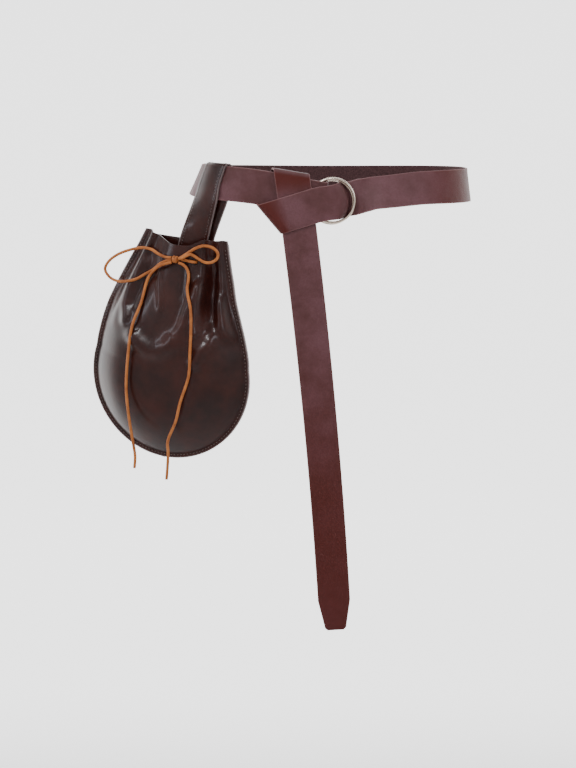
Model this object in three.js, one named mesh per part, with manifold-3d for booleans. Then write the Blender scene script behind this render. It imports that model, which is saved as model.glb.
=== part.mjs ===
// A drawstring leather belt pouch hanging by its loop on the ring belt that it is worn on.
// Millimetres, +Z up, the wearer's front towards -Y, the origin in the middle of the waist loop.

import * as THREE from 'three';
import { mergeVertices } from 'three/addons/utils/BufferGeometryUtils.js';
import Module from 'manifold-3d';

const wasm = await Module();
wasm.setup();

// Belt sizes
const STRAP_WIDTH = 38;
const STRAP_WALL = 2.2;
const WAIST_HALF_WIDTH = 159.5;
const WAIST_HALF_DEPTH = 112;
const WAIST_SQUARENESS = 2.8;
const LOOP_SIDE_SQUARENESS = 3.5;
const TAIL_LENGTH = 536;
const TIP_LENGTH = 38;
const TIP_SHARE = 0.6;
const END_TAB_LENGTH = 30;

// Ring sizes
const RING_OUTER = 51;
const RING_WIRE = 3;
const RING_TURN = 3;
const RING_SLIP = 1.3;
const RING_DROP = 11.8;
const RING_SIDE = -3.8;

// Pouch sizes: its own frame is across, up its leaning middle line, and out at the front
const POUCH_RADIUS = 99.7;
const POUCH_MIDDLE = [-2.1, -2.5];
const POUCH_WALL = 1.6;
const SEAM_MARGIN = 6;
const BACK_BULGE = 12;
const BACK_TOP = 161.5;
const POUCH_YAW = 18;
const POUCH_LEAN = 6.4;
const POUCH_CENTRE = [-189.3, -65.5, -216.3];

// Belt loop sizes
const LOOP_WIDTH = 34;
const LOOP_WALL = 1.8;
const LOOP_EASE = 0.55;

// Drawstring sizes
const CORD = 3.4;
const HOLE = 5.2;
const KNOT = { across: 2.1, up: 139.2, out: 22.9, wide: 9.2, high: 8.4, deep: 8.2 };

// Clearance between pieces that touch
const GAP = 0.35;

// Materials
const beltLeather = new THREE.MeshStandardMaterial({ color: 0x5b3632, roughness: 0.55, metalness: 0 });
const pouchLeather = new THREE.MeshStandardMaterial({ color: 0x35201d, roughness: 0.3, metalness: 0 });
const cordLeather = new THREE.MeshStandardMaterial({ color: 0xb5713f, roughness: 0.7, metalness: 0 });
const paleBrass = new THREE.MeshStandardMaterial({ color: 0xd9c7a4, roughness: 0.25, metalness: 1 });

const radians = THREE.MathUtils.degToRad;
const mix = THREE.MathUtils.lerp;
const smooth = THREE.MathUtils.smoothstep;

// The value of a table's column at a place between its rows, along a smooth curve through the rows
function readTable(rows, key, column, at) {
  const last = rows.length - 1;
  if (at <= rows[0][key]) return rows[0][column];
  if (at >= rows[last][key]) return rows[last][column];
  const i = rows.findIndex((row) => at <= row[key]) - 1;
  const slopeAfter = (k) => (rows[k + 1][column] - rows[k][column]) / (rows[k + 1][key] - rows[k][key]);
  const slopeAt = (k) => {
    if (k === 0) return slopeAfter(0);
    if (k === last) return slopeAfter(last - 1);
    const before = slopeAfter(k - 1);
    const after = slopeAfter(k);
    return before * after <= 0 ? 0 : (2 * before * after) / (before + after);
  };
  const step = rows[i + 1][key] - rows[i][key];
  const t = (at - rows[i][key]) / step;
  const u = 1 - t;
  return rows[i][column] * u * u * (1 + 2 * t) + rows[i + 1][column] * t * t * (1 + 2 * u)
    + step * (slopeAt(i) * u * u * t - slopeAt(i + 1) * t * t * u);
}

// A closed wall of even thickness about a grid of points on its middle surface. Rows may have
// fewer points than their neighbours, down to one point, which closes the grid there as a tip.
// A second grid may give the directions that the wall is thick along.
function wallAbout(grid, thickness, facing = null) {
  const columns = Math.max(...grid.map((row) => row.length));
  const match = (from, to, j) => (from.length === 1 ? 0 : Math.round((j * (to.length - 1)) / (from.length - 1)));
  const normalAt = (i, j) => {
    if (facing) return facing[i][j];
    const row = grid[i];
    if (row.length === 1) {
      const near = i > 0 ? i - 1 : 1;
      return grid[near].reduce((sum, _, k) => sum.add(normalAt(near, k)), new THREE.Vector3()).normalize();
    }
    const above = grid[Math.max(i - 1, 0)];
    const below = grid[Math.min(i + 1, grid.length - 1)];
    const down = below[match(row, below, j)].clone().sub(above[match(row, above, j)]);
    const right = row[Math.min(j + 1, row.length - 1)].clone().sub(row[Math.max(j - 1, 0)]);
    return right.cross(down).normalize();
  };
  const positions = [];
  const index = [thickness / 2, -thickness / 2].map((offset) => grid.map((row, i) => row.map((p, j) => {
    const at = p.clone().addScaledVector(normalAt(i, j), offset);
    positions.push(at.x, at.y, at.z);
    return positions.length / 3 - 1;
  })));
  const at = (side, i, j) => {
    const row = index[side][i];
    return row[Math.round((j * (row.length - 1)) / (columns - 1))];
  };
  const triangles = [];
  const quad = (a, b, c, d) => {
    for (const t of [[a, b, c], [a, c, d]]) {
      if (new Set(t).size === 3) triangles.push(...t);
    }
  };
  const lastColumn = columns - 1;
  const lastRow = grid.length - 1;
  for (let i = 0; i < lastRow; i++) {
    for (let j = 0; j < lastColumn; j++) {
      quad(at(0, i, j), at(0, i + 1, j), at(0, i + 1, j + 1), at(0, i, j + 1));
      quad(at(1, i, j), at(1, i, j + 1), at(1, i + 1, j + 1), at(1, i + 1, j));
    }
    quad(at(0, i, 0), at(1, i, 0), at(1, i + 1, 0), at(0, i + 1, 0));
    quad(at(0, i, lastColumn), at(0, i + 1, lastColumn), at(1, i + 1, lastColumn), at(1, i, lastColumn));
  }
  for (let j = 0; j < lastColumn; j++) {
    quad(at(0, 0, j), at(0, 0, j + 1), at(1, 0, j + 1), at(1, 0, j));
    quad(at(0, lastRow, j), at(1, lastRow, j), at(1, lastRow, j + 1), at(0, lastRow, j + 1));
  }
  return outwardGeometry(positions, triangles);
}

// A geometry of the triangles, turned over as a whole if they face inwards
function outwardGeometry(positions, triangles) {
  const v = (i) => new THREE.Vector3().fromArray(positions, 3 * i);
  let volume = 0;
  for (let t = 0; t < triangles.length; t += 3) {
    volume += v(triangles[t]).dot(v(triangles[t + 1]).cross(v(triangles[t + 2])));
  }
  if (volume < 0) triangles.reverse();
  const geometry = new THREE.BufferGeometry();
  geometry.setAttribute('position', new THREE.Float32BufferAttribute(positions, 3));
  geometry.setIndex(triangles);
  geometry.computeVertexNormals();
  return geometry;
}

function solidOf(geometry) {
  const bare = geometry.clone();
  bare.deleteAttribute('normal');
  bare.deleteAttribute('uv');
  const merged = mergeVertices(bare, 1e-4);
  return new wasm.Manifold(new wasm.Mesh({
    numProp: 3,
    vertProperties: new Float32Array(merged.attributes.position.array),
    triVerts: new Uint32Array(merged.index.array),
  }));
}

function geometryOf(solid) {
  const mesh = solid.getMesh();
  const geometry = new THREE.BufferGeometry();
  geometry.setAttribute('position', new THREE.BufferAttribute(new Float32Array(mesh.vertProperties), 3));
  geometry.setIndex(new THREE.BufferAttribute(new Uint32Array(mesh.triVerts), 1));
  geometry.computeVertexNormals();
  return geometry;
}

function named(name, geometry, material) {
  const mesh = new THREE.Mesh(geometry, material);
  mesh.name = name;
  return mesh;
}

// The waist line seen from above: a rounded oblong that starts at the front and runs to the right
const WAIST_SAMPLES = 96;
const waistLine = new THREE.CatmullRomCurve3(
  Array.from({ length: WAIST_SAMPLES }, (_, i) => {
    const turn = (2 * Math.PI * i) / WAIST_SAMPLES;
    const squareness = turn > 1.5 * Math.PI ? LOOP_SIDE_SQUARENESS : WAIST_SQUARENESS;
    const wide = Math.abs(Math.sin(turn) / WAIST_HALF_WIDTH) ** squareness;
    const deep = Math.abs(Math.cos(turn) / WAIST_HALF_DEPTH) ** squareness;
    const reach = (wide + deep) ** (-1 / squareness);
    return new THREE.Vector3(reach * Math.sin(turn), -reach * Math.cos(turn), 0);
  }), true);
waistLine.arcLengthDivisions = 4000;
const WAIST_LENGTH = waistLine.getLength();

// The belt is laid out flat as (along the waist, up, outwards) and then wrapped round the waist line
function wrap(flat) {
  const share = THREE.MathUtils.euclideanModulo(flat.x / WAIST_LENGTH, 1);
  const on = waistLine.getPointAt(share);
  const tangent = waistLine.getTangentAt(share);
  return new THREE.Vector3(on.x + tangent.y * flat.z, on.y - tangent.x * flat.z, flat.y);
}

// How far along the waist a place at the front lies
function alongAt(x) {
  let low = x < 0 ? -WAIST_LENGTH / 4 : 0;
  let high = x < 0 ? 0 : WAIST_LENGTH / 4;
  for (let i = 0; i < 40; i++) {
    const middle = (low + high) / 2;
    if (wrap(new THREE.Vector3(middle, 0, 0)).x < x) low = middle;
    else high = middle;
  }
  return (low + high) / 2;
}

// Depths of the layers in the knot, from the middle of the left strap outwards
const HALF_STRAP = STRAP_WIDTH / 2;
const LAYER = STRAP_WALL + GAP;
const RING_MID = (RING_OUTER - RING_WIRE) / 2;
const RING_PITCH = RING_WIRE + GAP;
const RING_FOLD = (2 * RING_WIRE + 3 * GAP + STRAP_WALL) / 2;
const RING_DEPTH = -RING_WIRE / 2;
const FOLD_REACH = Math.sqrt(RING_MID ** 2 - (HALF_STRAP + RING_SLIP / 2) ** 2) - RING_SLIP / 2;
const RING_LEAN = Math.tan(radians(RING_TURN));
const RING_CENTRE = new THREE.Vector3(alongAt(RING_SIDE), -RING_DROP, RING_DEPTH + FOLD_REACH * RING_LEAN);
const LEFT_SLOPE = 10.5;
const DIAGONAL_SLOPE = 17.3;
const FOLD_SLANT = 23;
const FOLD_FRONT = 6;
const FOLD_CREASE = 1.6;
const TOP_SLANT = -17.5;
const TOP_CREASE = 3.2;
const DIAGONAL_RUN = 46.5;
const RISER_RUN = 49;
const UPRIGHT_RUN = 60;
const FRONT_LEVEL = RING_DEPTH + RING_FOLD;
const TAB_LEVEL = RING_DEPTH - RING_FOLD;
const UPRIGHT_LEVEL = FRONT_LEVEL + LAYER;
const DIAGONAL_LEVEL = UPRIGHT_LEVEL + LAYER;
const RISER_LEVEL = TAB_LEVEL - 0.35 * STRAP_WALL;
const BEHIND_LEVEL = RING_CENTRE.z + (FOLD_REACH - RING_SLIP) * RING_LEAN
  - (RING_PITCH + RING_WIRE) / 2 - GAP - STRAP_WALL / 2;

// Places across the strap, as shares of its half width: few where it is flat, more where it is domed
const FLAT = [-1, 0, 1];
const DOMED = [-1, -0.8, -0.6, -0.3, 0, 0.3, 0.6, 0.8, 1];

// A strap in flat layout: stations across it, each a middle point, a half width and a rise

class Strap {
  constructor() {
    this.stations = [];
  }

  // A station at a place, heading along a slope, tilted about its length
  put(at, heading, { tilt = 0, width = 1, rise = null } = {}) {
    this.along = new THREE.Vector3(Math.cos(radians(heading)), Math.sin(radians(heading)), 0);
    const level = new THREE.Vector3(-this.along.y, this.along.x, 0);
    if (level.y < 0) level.negate();
    this.across = level.multiplyScalar(Math.cos(radians(tilt)));
    this.across.z = -Math.sin(radians(tilt));
    this.face = this.across.clone().cross(this.along);
    this.at = at.clone();
    this.mark(this.across, width, rise);
  }

  mark(across, width = 1, rise = null) {
    this.stations.push({ at: this.at.clone(), reach: across.clone().multiplyScalar(HALF_STRAP * width), rise });
  }

  // A flat stretch, in steps, that may steer in its own plane
  run(length, steps, { steer = 0, width = 1 } = {}) {
    for (let i = 0; i < steps; i++) {
      const turn = radians(steer) / steps;
      this.along.applyAxisAngle(this.face, turn);
      this.across.applyAxisAngle(this.face, turn);
      this.at.addScaledVector(this.along, length / steps);
      this.mark(this.across, width);
    }
  }

  // A bend away from the face about a line that slants across the strap
  fold(radius, turn, slant, steps) {
    const lean = radians(slant);
    const line = this.across.clone().multiplyScalar(Math.cos(lean)).addScaledVector(this.along, Math.sin(lean));
    const ahead = this.along.clone().multiplyScalar(Math.cos(lean)).addScaledVector(this.across, -Math.sin(lean));
    const face = this.face.clone();
    const start = this.at.clone();
    const ruling = line.clone().multiplyScalar(1 / Math.cos(lean));
    for (let i = 0; i <= steps; i++) {
      const angle = (radians(turn) * i) / steps;
      this.at = start.clone()
        .addScaledVector(line, Math.tan(lean) * radius * angle)
        .addScaledVector(ahead, radius * Math.sin(angle))
        .addScaledVector(face, -radius * (1 - Math.cos(angle)));
      this.mark(ruling);
    }
    const end = radians(turn);
    const aheadAfter = ahead.clone().multiplyScalar(Math.cos(end)).addScaledVector(face, -Math.sin(end));
    this.face = face.multiplyScalar(Math.cos(end)).addScaledVector(ahead, Math.sin(end));
    this.along = aheadAfter.clone().multiplyScalar(Math.cos(lean)).addScaledVector(line, Math.sin(lean));
    this.across = line.clone().multiplyScalar(Math.cos(lean)).addScaledVector(aheadAfter, -Math.sin(lean));
  }

  grid() {
    return this.stations.map(({ at, reach, rise }) => (rise ? DOMED : FLAT).map((k) => {
      const flat = at.clone().addScaledVector(reach, k);
      if (rise) flat.z += rise(flat);
      return wrap(flat);
    }));
  }
}

// A place on the left strap's middle line, counted leftwards from the ring's centre
function onLeftStrap(reach, depth) {
  const slope = radians(LEFT_SLOPE);
  return new THREE.Vector3(
    RING_CENTRE.x - reach * Math.cos(slope), RING_CENTRE.y + reach * Math.sin(slope), depth);
}

// The turned-back end behind the rings: reach in ring radii, depth between the layers, width share
const TAB_ROWS = [
  { reach: 1.1 + END_TAB_LENGTH / RING_OUTER, close: 1, width: 0.55 },
  { reach: 1.45, close: 1, width: 0.72 },
  { reach: 1.12, close: 0.1, width: 0.95 },
  { reach: 0.85, close: 0, width: 1 },
];

// The left strap past its fold: reach in ring radii, share of the way down to the waist line
const LEFT_ROWS = [
  { reach: 0.85, down: 0 },
  { reach: 1.1, down: 0.04 },
  { reach: 1.3, down: 0.3 },
  { reach: 1.55, down: 0.75 },
  { reach: 1.8, down: 1 },
];

// The loop round the waist: share of the way round, height in strap widths, outward tilt in degrees
const WAIST_ROWS = [
  { round: 0.055, height: -0.093, tilt: 0 },
  { round: 0.095, height: 0.09, tilt: 2 },
  { round: 0.13, height: 0.17, tilt: 7 },
  { round: 0.175, height: 0.22, tilt: 16 },
  { round: 0.25, height: 0.235, tilt: 27 },
  { round: 0.34, height: 0.09, tilt: 12 },
  { round: 0.5, height: 0.03, tilt: 5 },
  { round: 0.75, height: 0.066, tilt: 6 },
  { round: 0.84, height: 0.07, tilt: 15 },
  { round: 0.885, height: 0.06, tilt: 21 },
  { round: 0.94, height: -0.05, tilt: 25 },
];
const WAIST_STEPS = 58;

// The strap's rise through the rings: distance past the wire in ring radii, share of the way from
// the waist line to behind the rings, and share of the way from there to the top of the knot
const RISE_ROWS = [
  { past: -1.2, sunk: 0, lift: 0 },
  { past: -0.3, sunk: 1, lift: 0 },
  { past: 0.2, sunk: 1, lift: -0.06 },
  { past: 0.27, sunk: 1, lift: 0.33 },
  { past: 0.32, sunk: 1, lift: 0.74 },
  { past: 0.42, sunk: 1, lift: 0.94 },
  { past: 0.6, sunk: 1, lift: 1.02 },
  { past: 0.95, sunk: 1, lift: 1.03 },
  { past: 1.35, sunk: 1, lift: 1 },
];
// Places of the stations through the rings: side in ring radii, drop in strap widths, heading
const THROUGH_ROWS = [
  { side: 1.9, drop: -0.23, heading: 188, tilt: 25 },
  { side: 1.5, drop: -0.17, heading: 190, tilt: 18 },
  { side: 1.2, drop: -0.12, heading: 190, tilt: 9 },
  { side: 1.0, drop: -0.08, heading: 190, tilt: 3 },
  { side: 0.9, drop: -0.07, heading: 190, tilt: 1 },
  { side: 0.81, drop: -0.06, heading: 190, tilt: 0 },
  { side: 0.74, drop: -0.055, heading: 190, tilt: 0 },
  { side: 0.67, drop: -0.05, heading: 190, tilt: 0 },
  { side: 0.6, drop: -0.04, heading: 191, tilt: 0 },
  { side: 0.52, drop: -0.03, heading: 191, tilt: 0 },
  { side: 0.44, drop: -0.02, heading: 191, tilt: 0 },
  { side: 0.35, drop: -0.01, heading: 192, tilt: 0 },
  { side: 0.26, drop: 0, heading: 192, tilt: 0 },
  { side: 0.15, drop: 0.015, heading: 192, tilt: 0 },
  { side: -0.1, drop: 0.04, heading: 193, tilt: 0 },
  { side: -0.4, drop: 0.06, heading: 194.5, tilt: 0 },
];

function buildBelt() {
  const strap = new Strap();
  const tabHeading = -LEFT_SLOPE;
  for (const { reach, close, width } of TAB_ROWS) {
    const level = TAB_LEVEL - (reach * RING_MID - FOLD_REACH) * RING_LEAN;
    strap.put(onLeftStrap(reach * RING_MID, mix(level, -LAYER, close)), tabHeading, { width });
  }
  strap.put(onLeftStrap(FOLD_REACH, TAB_LEVEL), tabHeading);
  strap.stations.pop();
  strap.fold(RING_FOLD, 180, 0, 8);
  for (const { reach, down } of LEFT_ROWS) {
    strap.put(onLeftStrap(reach * RING_MID, FRONT_LEVEL * (1 - down)), 180 - LEFT_SLOPE);
  }
  const first = WAIST_ROWS[0].round;
  const last = WAIST_ROWS[WAIST_ROWS.length - 1].round;
  for (let i = 0; i <= WAIST_STEPS; i++) {
    const round = mix(first, last, i / WAIST_STEPS);
    const height = (share) => STRAP_WIDTH * readTable(WAIST_ROWS, 'round', 'height', share);
    const step = 0.004;
    const heading = Math.atan2(height(round + step) - height(round - step), -2 * step * WAIST_LENGTH);
    strap.put(new THREE.Vector3(-round * WAIST_LENGTH, height(round), 0), THREE.MathUtils.radToDeg(heading),
      { tilt: readTable(WAIST_ROWS, 'round', 'tilt', round) });
  }
  for (const { side, drop, heading, tilt } of THROUGH_ROWS) {
    const at = new THREE.Vector3(RING_CENTRE.x - WAIST_LENGTH + side * RING_MID,
      RING_CENTRE.y - drop * STRAP_WIDTH, 0);
    const rise = (flat) => {
      const right = flat.x + WAIST_LENGTH - RING_CENTRE.x;
      const up = flat.y - RING_CENTRE.y;
      const before = -right * Math.cos(radians(heading)) - up * Math.sin(radians(heading));
      const beside = right * Math.sin(radians(heading)) - up * Math.cos(radians(heading));
      const past = (Math.sqrt(Math.max(RING_MID ** 2 - beside ** 2, 0)) - before) / RING_MID;
      const sunk = BEHIND_LEVEL * readTable(RISE_ROWS, 'past', 'sunk', past);
      return sunk + (DIAGONAL_LEVEL - BEHIND_LEVEL) * readTable(RISE_ROWS, 'past', 'lift', past);
    };
    strap.put(at, heading, { tilt, rise });
  }
  strap.put(new THREE.Vector3(RING_CENTRE.x - WAIST_LENGTH - 0.75 * RING_MID,
    RING_CENTRE.y - 0.11 * STRAP_WIDTH, DIAGONAL_LEVEL), 180 + DIAGONAL_SLOPE);
  strap.run(DIAGONAL_RUN, 3);
  strap.fold(FOLD_FRONT, 90, FOLD_SLANT, 4);
  strap.run((DIAGONAL_LEVEL - RISER_LEVEL - FOLD_FRONT - FOLD_CREASE) / Math.cos(radians(FOLD_SLANT)), 1);
  strap.stations.pop();
  strap.fold(FOLD_CREASE, 90, FOLD_SLANT, 3);
  strap.run(RISER_RUN, 2);
  strap.fold(TOP_CREASE, 90, TOP_SLANT, 3);
  strap.run((UPRIGHT_LEVEL - RISER_LEVEL - 2 * TOP_CREASE) / Math.cos(radians(TOP_SLANT)), 1);
  strap.fold(TOP_CREASE, 90, TOP_SLANT, 3);
  strap.run(UPRIGHT_RUN, 2, { steer: -1 });
  strap.run(TAIL_LENGTH - UPRIGHT_RUN - TIP_LENGTH, 8, { steer: -3.6 });
  strap.run(TIP_LENGTH, 1, { width: TIP_SHARE });
  return wallAbout(strap.grid(), STRAP_WALL);
}

const model = new THREE.Group();
model.add(named('belt_strap', buildBelt(), beltLeather));

function ringMesh(name, layer) {
  const torus = new THREE.TorusGeometry(RING_MID, RING_WIRE / 2, 8, 36);
  torus.rotateX(Math.PI / 2);
  const ring = named(name, torus, paleBrass);
  const at = wrap(RING_CENTRE);
  ring.position.set(at.x + layer * RING_SLIP, at.y - layer * RING_PITCH, at.z + layer * RING_SLIP);
  ring.rotation.z = -radians(RING_TURN);
  return ring;
}
model.add(ringMesh('ring_front', 0.5));
model.add(ringMesh('ring_back', -0.5));

// The pouch's own frame
const turnLevel = new THREE.Vector3(Math.cos(radians(POUCH_YAW)), -Math.sin(radians(POUCH_YAW)), 0);
const OUT = new THREE.Vector3(-Math.sin(radians(POUCH_YAW)), -Math.cos(radians(POUCH_YAW)), 0);
const plumb = new THREE.Vector3(0, 0, 1);
const ACROSS = turnLevel.clone().multiplyScalar(Math.cos(radians(POUCH_LEAN)))
  .addScaledVector(plumb, -Math.sin(radians(POUCH_LEAN)));
const UP = turnLevel.clone().multiplyScalar(Math.sin(radians(POUCH_LEAN)))
  .addScaledVector(plumb, Math.cos(radians(POUCH_LEAN)));

function onPouch(across, up, out) {
  return new THREE.Vector3(...POUCH_CENTRE).addScaledVector(ACROSS, across)
    .addScaledVector(UP, up).addScaledVector(OUT, out);
}

// The outline above the round part: height, left and right edges
const OUTLINE_ROWS = [
  { up: 20, left: -99.2, right: 95 },
  { up: 29, left: -98.4, right: 93.9 },
  { up: 52, left: -94.4, right: 87.8 },
  { up: 74.6, left: -88.2, right: 79.8 },
  { up: 98.3, left: -78.6, right: 71.4 },
  { up: 118.6, left: -69.3, right: 66.3 },
  { up: 134, left: -61.9, right: 62 },
  { up: 149.4, left: -54.1, right: 58.2 },
  { up: 167, left: -46.4, right: 54.2 },
];

// The front panel by height: depth of the body, reach of its rounding in from the seam, and how far
// the gathers of the mouth hold there
const BODY_ROWS = [
  { up: -103, depth: 24, reach: 55, gather: 0 },
  { up: -40, depth: 32, reach: 60, gather: 0 },
  { up: 0, depth: 36, reach: 62, gather: 0 },
  { up: 40, depth: 37, reach: 60, gather: 0 },
  { up: 60, depth: 35, reach: 52, gather: 0.16 },
  { up: 80, depth: 31, reach: 42, gather: 0.42 },
  { up: 100, depth: 26, reach: 34, gather: 0.68 },
  { up: 120, depth: 20.5, reach: 28, gather: 0.9 },
  { up: 139, depth: 16.5, reach: 25, gather: 1 },
  { up: 167, depth: 15, reach: 25, gather: 1 },
];

// The gathered mouth from edge to edge: share of the way across, share of the depth, rim height
const MOUTH_ROWS = [
  { share: 0, depth: 0, rim: 165.4 },
  { share: 0.06, depth: 0, rim: 166.4 },
  { share: 0.14, depth: 0.5, rim: 163.8 },
  { share: 0.2, depth: 0.38, rim: 162.2 },
  { share: 0.26, depth: 0.52, rim: 160.2 },
  { share: 0.33, depth: 0.74, rim: 157.4 },
  { share: 0.4, depth: 0.92, rim: 155.2 },
  { share: 0.48, depth: 1, rim: 154.6 },
  { share: 0.58, depth: 1, rim: 155.7 },
  { share: 0.64, depth: 0.97, rim: 157.8 },
  { share: 0.7, depth: 0.92, rim: 161.8 },
  { share: 0.74, depth: 0.84, rim: 163.7 },
  { share: 0.785, depth: 0.3, rim: 163.8 },
  { share: 0.83, depth: 0.12, rim: 163.6 },
  { share: 0.9, depth: 0.26, rim: 164.6 },
  { share: 0.945, depth: 0, rim: 165.2 },
  { share: 1, depth: 0, rim: 164.6 },
];

// Folds in the front panel: the line that each follows as across and up, its rise and half width
const FOLD_ROWS = [
  { line: [[-36, 142], [-41, 128], [-47, 111], [-53, 97], [-56, 79], [-52, 63], [-43, 56]], rise: 3.6, width: 8 },
  { line: [[-46, 66], [-38, 49], [-29, 41], [-16, 34], [-4, 35], [7, 41], [17, 53], [23, 68]], rise: 3.4, width: 11 },
  { line: [[17, 53], [23, 68], [25, 83], [28, 98], [31, 111], [34, 125]], rise: 3, width: 7 },
  { line: [[35, 148], [34.5, 98], [34.5, 72], [37, 62], [43, 57]], rise: 4.2, width: 5 },
  { line: [[39, 150], [42, 120], [46, 97], [49, 78], [47, 62]], rise: -5, width: 6 },
  { line: [[55, 110], [58, 90], [64, 70], [72, 61], [86, 57]], rise: 4.5, width: 7 },
  { line: [[57, 68], [54, 50], [47, 40], [42, 28], [34, 20]], rise: 3, width: 7 },
];

function outlineAt(up) {
  if (up < OUTLINE_ROWS[0].up) {
    const half = Math.sqrt(Math.max(POUCH_RADIUS ** 2 - (up - POUCH_MIDDLE[1]) ** 2, 0));
    return [POUCH_MIDDLE[0] - half, POUCH_MIDDLE[0] + half];
  }
  return ['left', 'right'].map((side) => readTable(OUTLINE_ROWS, 'up', side, up));
}

function seamDistance(across, up) {
  if (up < OUTLINE_ROWS[0].up) {
    return POUCH_RADIUS - Math.hypot(across - POUCH_MIDDLE[0], up - POUCH_MIDDLE[1]);
  }
  const [left, right] = outlineAt(up);
  const [leftAbove, rightAbove] = outlineAt(up + 1);
  return Math.min((across - left) / Math.hypot(1, leftAbove - left),
    (right - across) / Math.hypot(1, rightAbove - right));
}

// How far a place is along and away from a line of points
function besideLine(line, across, up) {
  let best = { away: Infinity, along: 0 };
  line.slice(1).forEach(([x, y], i) => {
    const [x0, y0] = line[i];
    const length = Math.hypot(x - x0, y - y0);
    const t = THREE.MathUtils.clamp(((across - x0) * (x - x0) + (up - y0) * (y - y0)) / length ** 2, 0, 1);
    const away = Math.hypot(across - mix(x0, x, t), up - mix(y0, y, t));
    if (away < best.away) best = { away, along: (i + t) / (line.length - 1) };
  });
  return best;
}

const PANEL_REST = (POUCH_WALL + GAP) / 2;
function rounding(inside, reach) {
  const share = Math.min(Math.max(inside, 0) / reach, 1);
  return Math.sin((Math.PI / 2) * share) ** 0.85;
}

function frontDepth(across, up) {
  const inside = seamDistance(across, up) - SEAM_MARGIN;
  const depth = readTable(BODY_ROWS, 'up', 'depth', up);
  const gather = readTable(BODY_ROWS, 'up', 'gather', up);
  const body = depth * rounding(inside, readTable(BODY_ROWS, 'up', 'reach', up));
  const [left, right] = outlineAt(up);
  const mouth = depth * readTable(MOUTH_ROWS, 'share', 'depth', (across - left) / Math.max(right - left, 1));
  const ease = smooth(inside, 0, 10);
  let folds = 0;
  for (const { line, rise, width } of FOLD_ROWS) {
    const { away, along } = besideLine(line, across, up);
    if (away < 3 * width) {
      folds += rise * Math.exp(-((away / width) ** 2)) * smooth(along, 0, 0.2) * (1 - smooth(along, 0.8, 1));
    }
  }
  return PANEL_REST + Math.max(mix(body, mouth, gather) + folds * ease, 0);
}

function backDepth(across, up) {
  const inside = seamDistance(across, up) - SEAM_MARGIN;
  return -PANEL_REST - BACK_BULGE * rounding(inside, 70) * (1 - smooth(up, 60, 130));
}

// A panel from its mouth down to the lowest point of the round part
function buildPanel(depthAt, rimAt, shares, neckRows, roundRows) {
  const places = [];
  for (let i = 0; i < neckRows; i++) {
    const t = i / neckRows;
    places.push(shares.map((share) => placeAt(share, mix(rimAt(share), OUTLINE_ROWS[0].up, t))));
  }
  const start = Math.asin((OUTLINE_ROWS[0].up - POUCH_MIDDLE[1]) / POUCH_RADIUS);
  for (let i = 0; i < roundRows; i++) {
    const turn = mix(start, -Math.PI / 2, (i / roundRows) ** 0.96);
    places.push(shares.map((share) => placeAt(share, POUCH_MIDDLE[1] + POUCH_RADIUS * Math.sin(turn))));
  }
  places.push([[POUCH_MIDDLE[0], POUCH_MIDDLE[1] - POUCH_RADIUS + 0.05]]);
  const step = 0.6;
  const grid = places.map((row) => row.map(([across, up]) => onPouch(across, up, depthAt(across, up))));
  const facing = places.map((row) => row.map(([across, up]) => {
    const slopeAcross = (depthAt(across + step, up) - depthAt(across - step, up)) / (2 * step);
    const slopeUp = (depthAt(across, up + step) - depthAt(across, up - step)) / (2 * step);
    return OUT.clone().addScaledVector(ACROSS, -slopeAcross).addScaledVector(UP, -slopeUp).normalize();
  }));
  return wallAbout(grid, POUCH_WALL, facing);
}

// Shares 0 and 1 are the edges; the ones next to them keep the width of the seam margin
function placeAt(share, up) {
  const [left, right] = outlineAt(up);
  const half = (right - left) / 2;
  let margin = SEAM_MARGIN;
  if (up < OUTLINE_ROWS[0].up) {
    const drop = up - POUCH_MIDDLE[1];
    const inner = Math.sqrt(Math.max((POUCH_RADIUS - SEAM_MARGIN) ** 2 - drop ** 2, 0));
    margin = Math.min(half - inner, 0.3 * half);
  }
  if (share <= 0) return [left, up];
  if (share >= 1) return [right, up];
  return [mix(left + margin, right - margin, share), up];
}

const FRONT_COLUMNS = 32;
const BACK_COLUMNS = 12;
const columnShares = (count) => [0, ...Array.from({ length: count + 1 },
  (_, i) => 0.0001 + (0.9998 * i) / count), 1];
const frontPanel = buildPanel(frontDepth, (share) => readTable(MOUTH_ROWS, 'share', 'rim', 0.06 + 0.88 * share),
  columnShares(FRONT_COLUMNS), 18, 14);
const backPanel = buildPanel(backDepth, () => BACK_TOP, columnShares(BACK_COLUMNS), 6, 9);

// The front's holes for the drawstring: behind the knot, and beside it at the edge of the gather
const HOLES = [[KNOT.across, KNOT.up], [24.6, 138.8]];
function withHoles(panel) {
  let solid = solidOf(panel);
  for (const [across, up] of HOLES) {
    const drill = new THREE.CylinderGeometry(HOLE / 2, HOLE / 2, 16, 12);
    drill.rotateX(Math.PI / 2);
    drill.rotateZ(-radians(POUCH_YAW));
    drill.translate(...onPouch(across, up, frontDepth(across, up)).toArray());
    solid = solid.subtract(solidOf(drill));
  }
  return geometryOf(solid);
}
model.add(named('pouch_front', withHoles(frontPanel), pouchLeather));
model.add(named('pouch_back', backPanel, pouchLeather));

// The belt loop: on the pouch its places are across and up, on the belt along the waist and up
const LOOP_ENDS = {
  front: [{ across: 10.5, up: 134, slope: -6 }, { across: 13.4, up: 161, slope: -5 }],
  rear: [{ across: 20, up: 166, slope: 0 }, { across: 19.5, up: 150, slope: 0 }, { across: 18.5, up: 134, slope: 0 }],
};
const LOOP_ON_BELT = {
  front: [
    { along: -148, up: -12, slope: -7 },
    { along: -146.6, up: 4, slope: -5 },
    { along: -143, up: 17, slope: -2 },
  ],
  top: [{ along: -140, slope: 0 }, { along: -134.6, slope: 0 }],
  rear: [
    { along: -134.8, up: 17, slope: 0 },
    { along: -136, up: 4, slope: 0 },
    { along: -138, up: -12, slope: 2 },
  ],
};
const LOOP_ACROSS = [-1, -0.5, 0, 0.5, 1];

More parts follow.
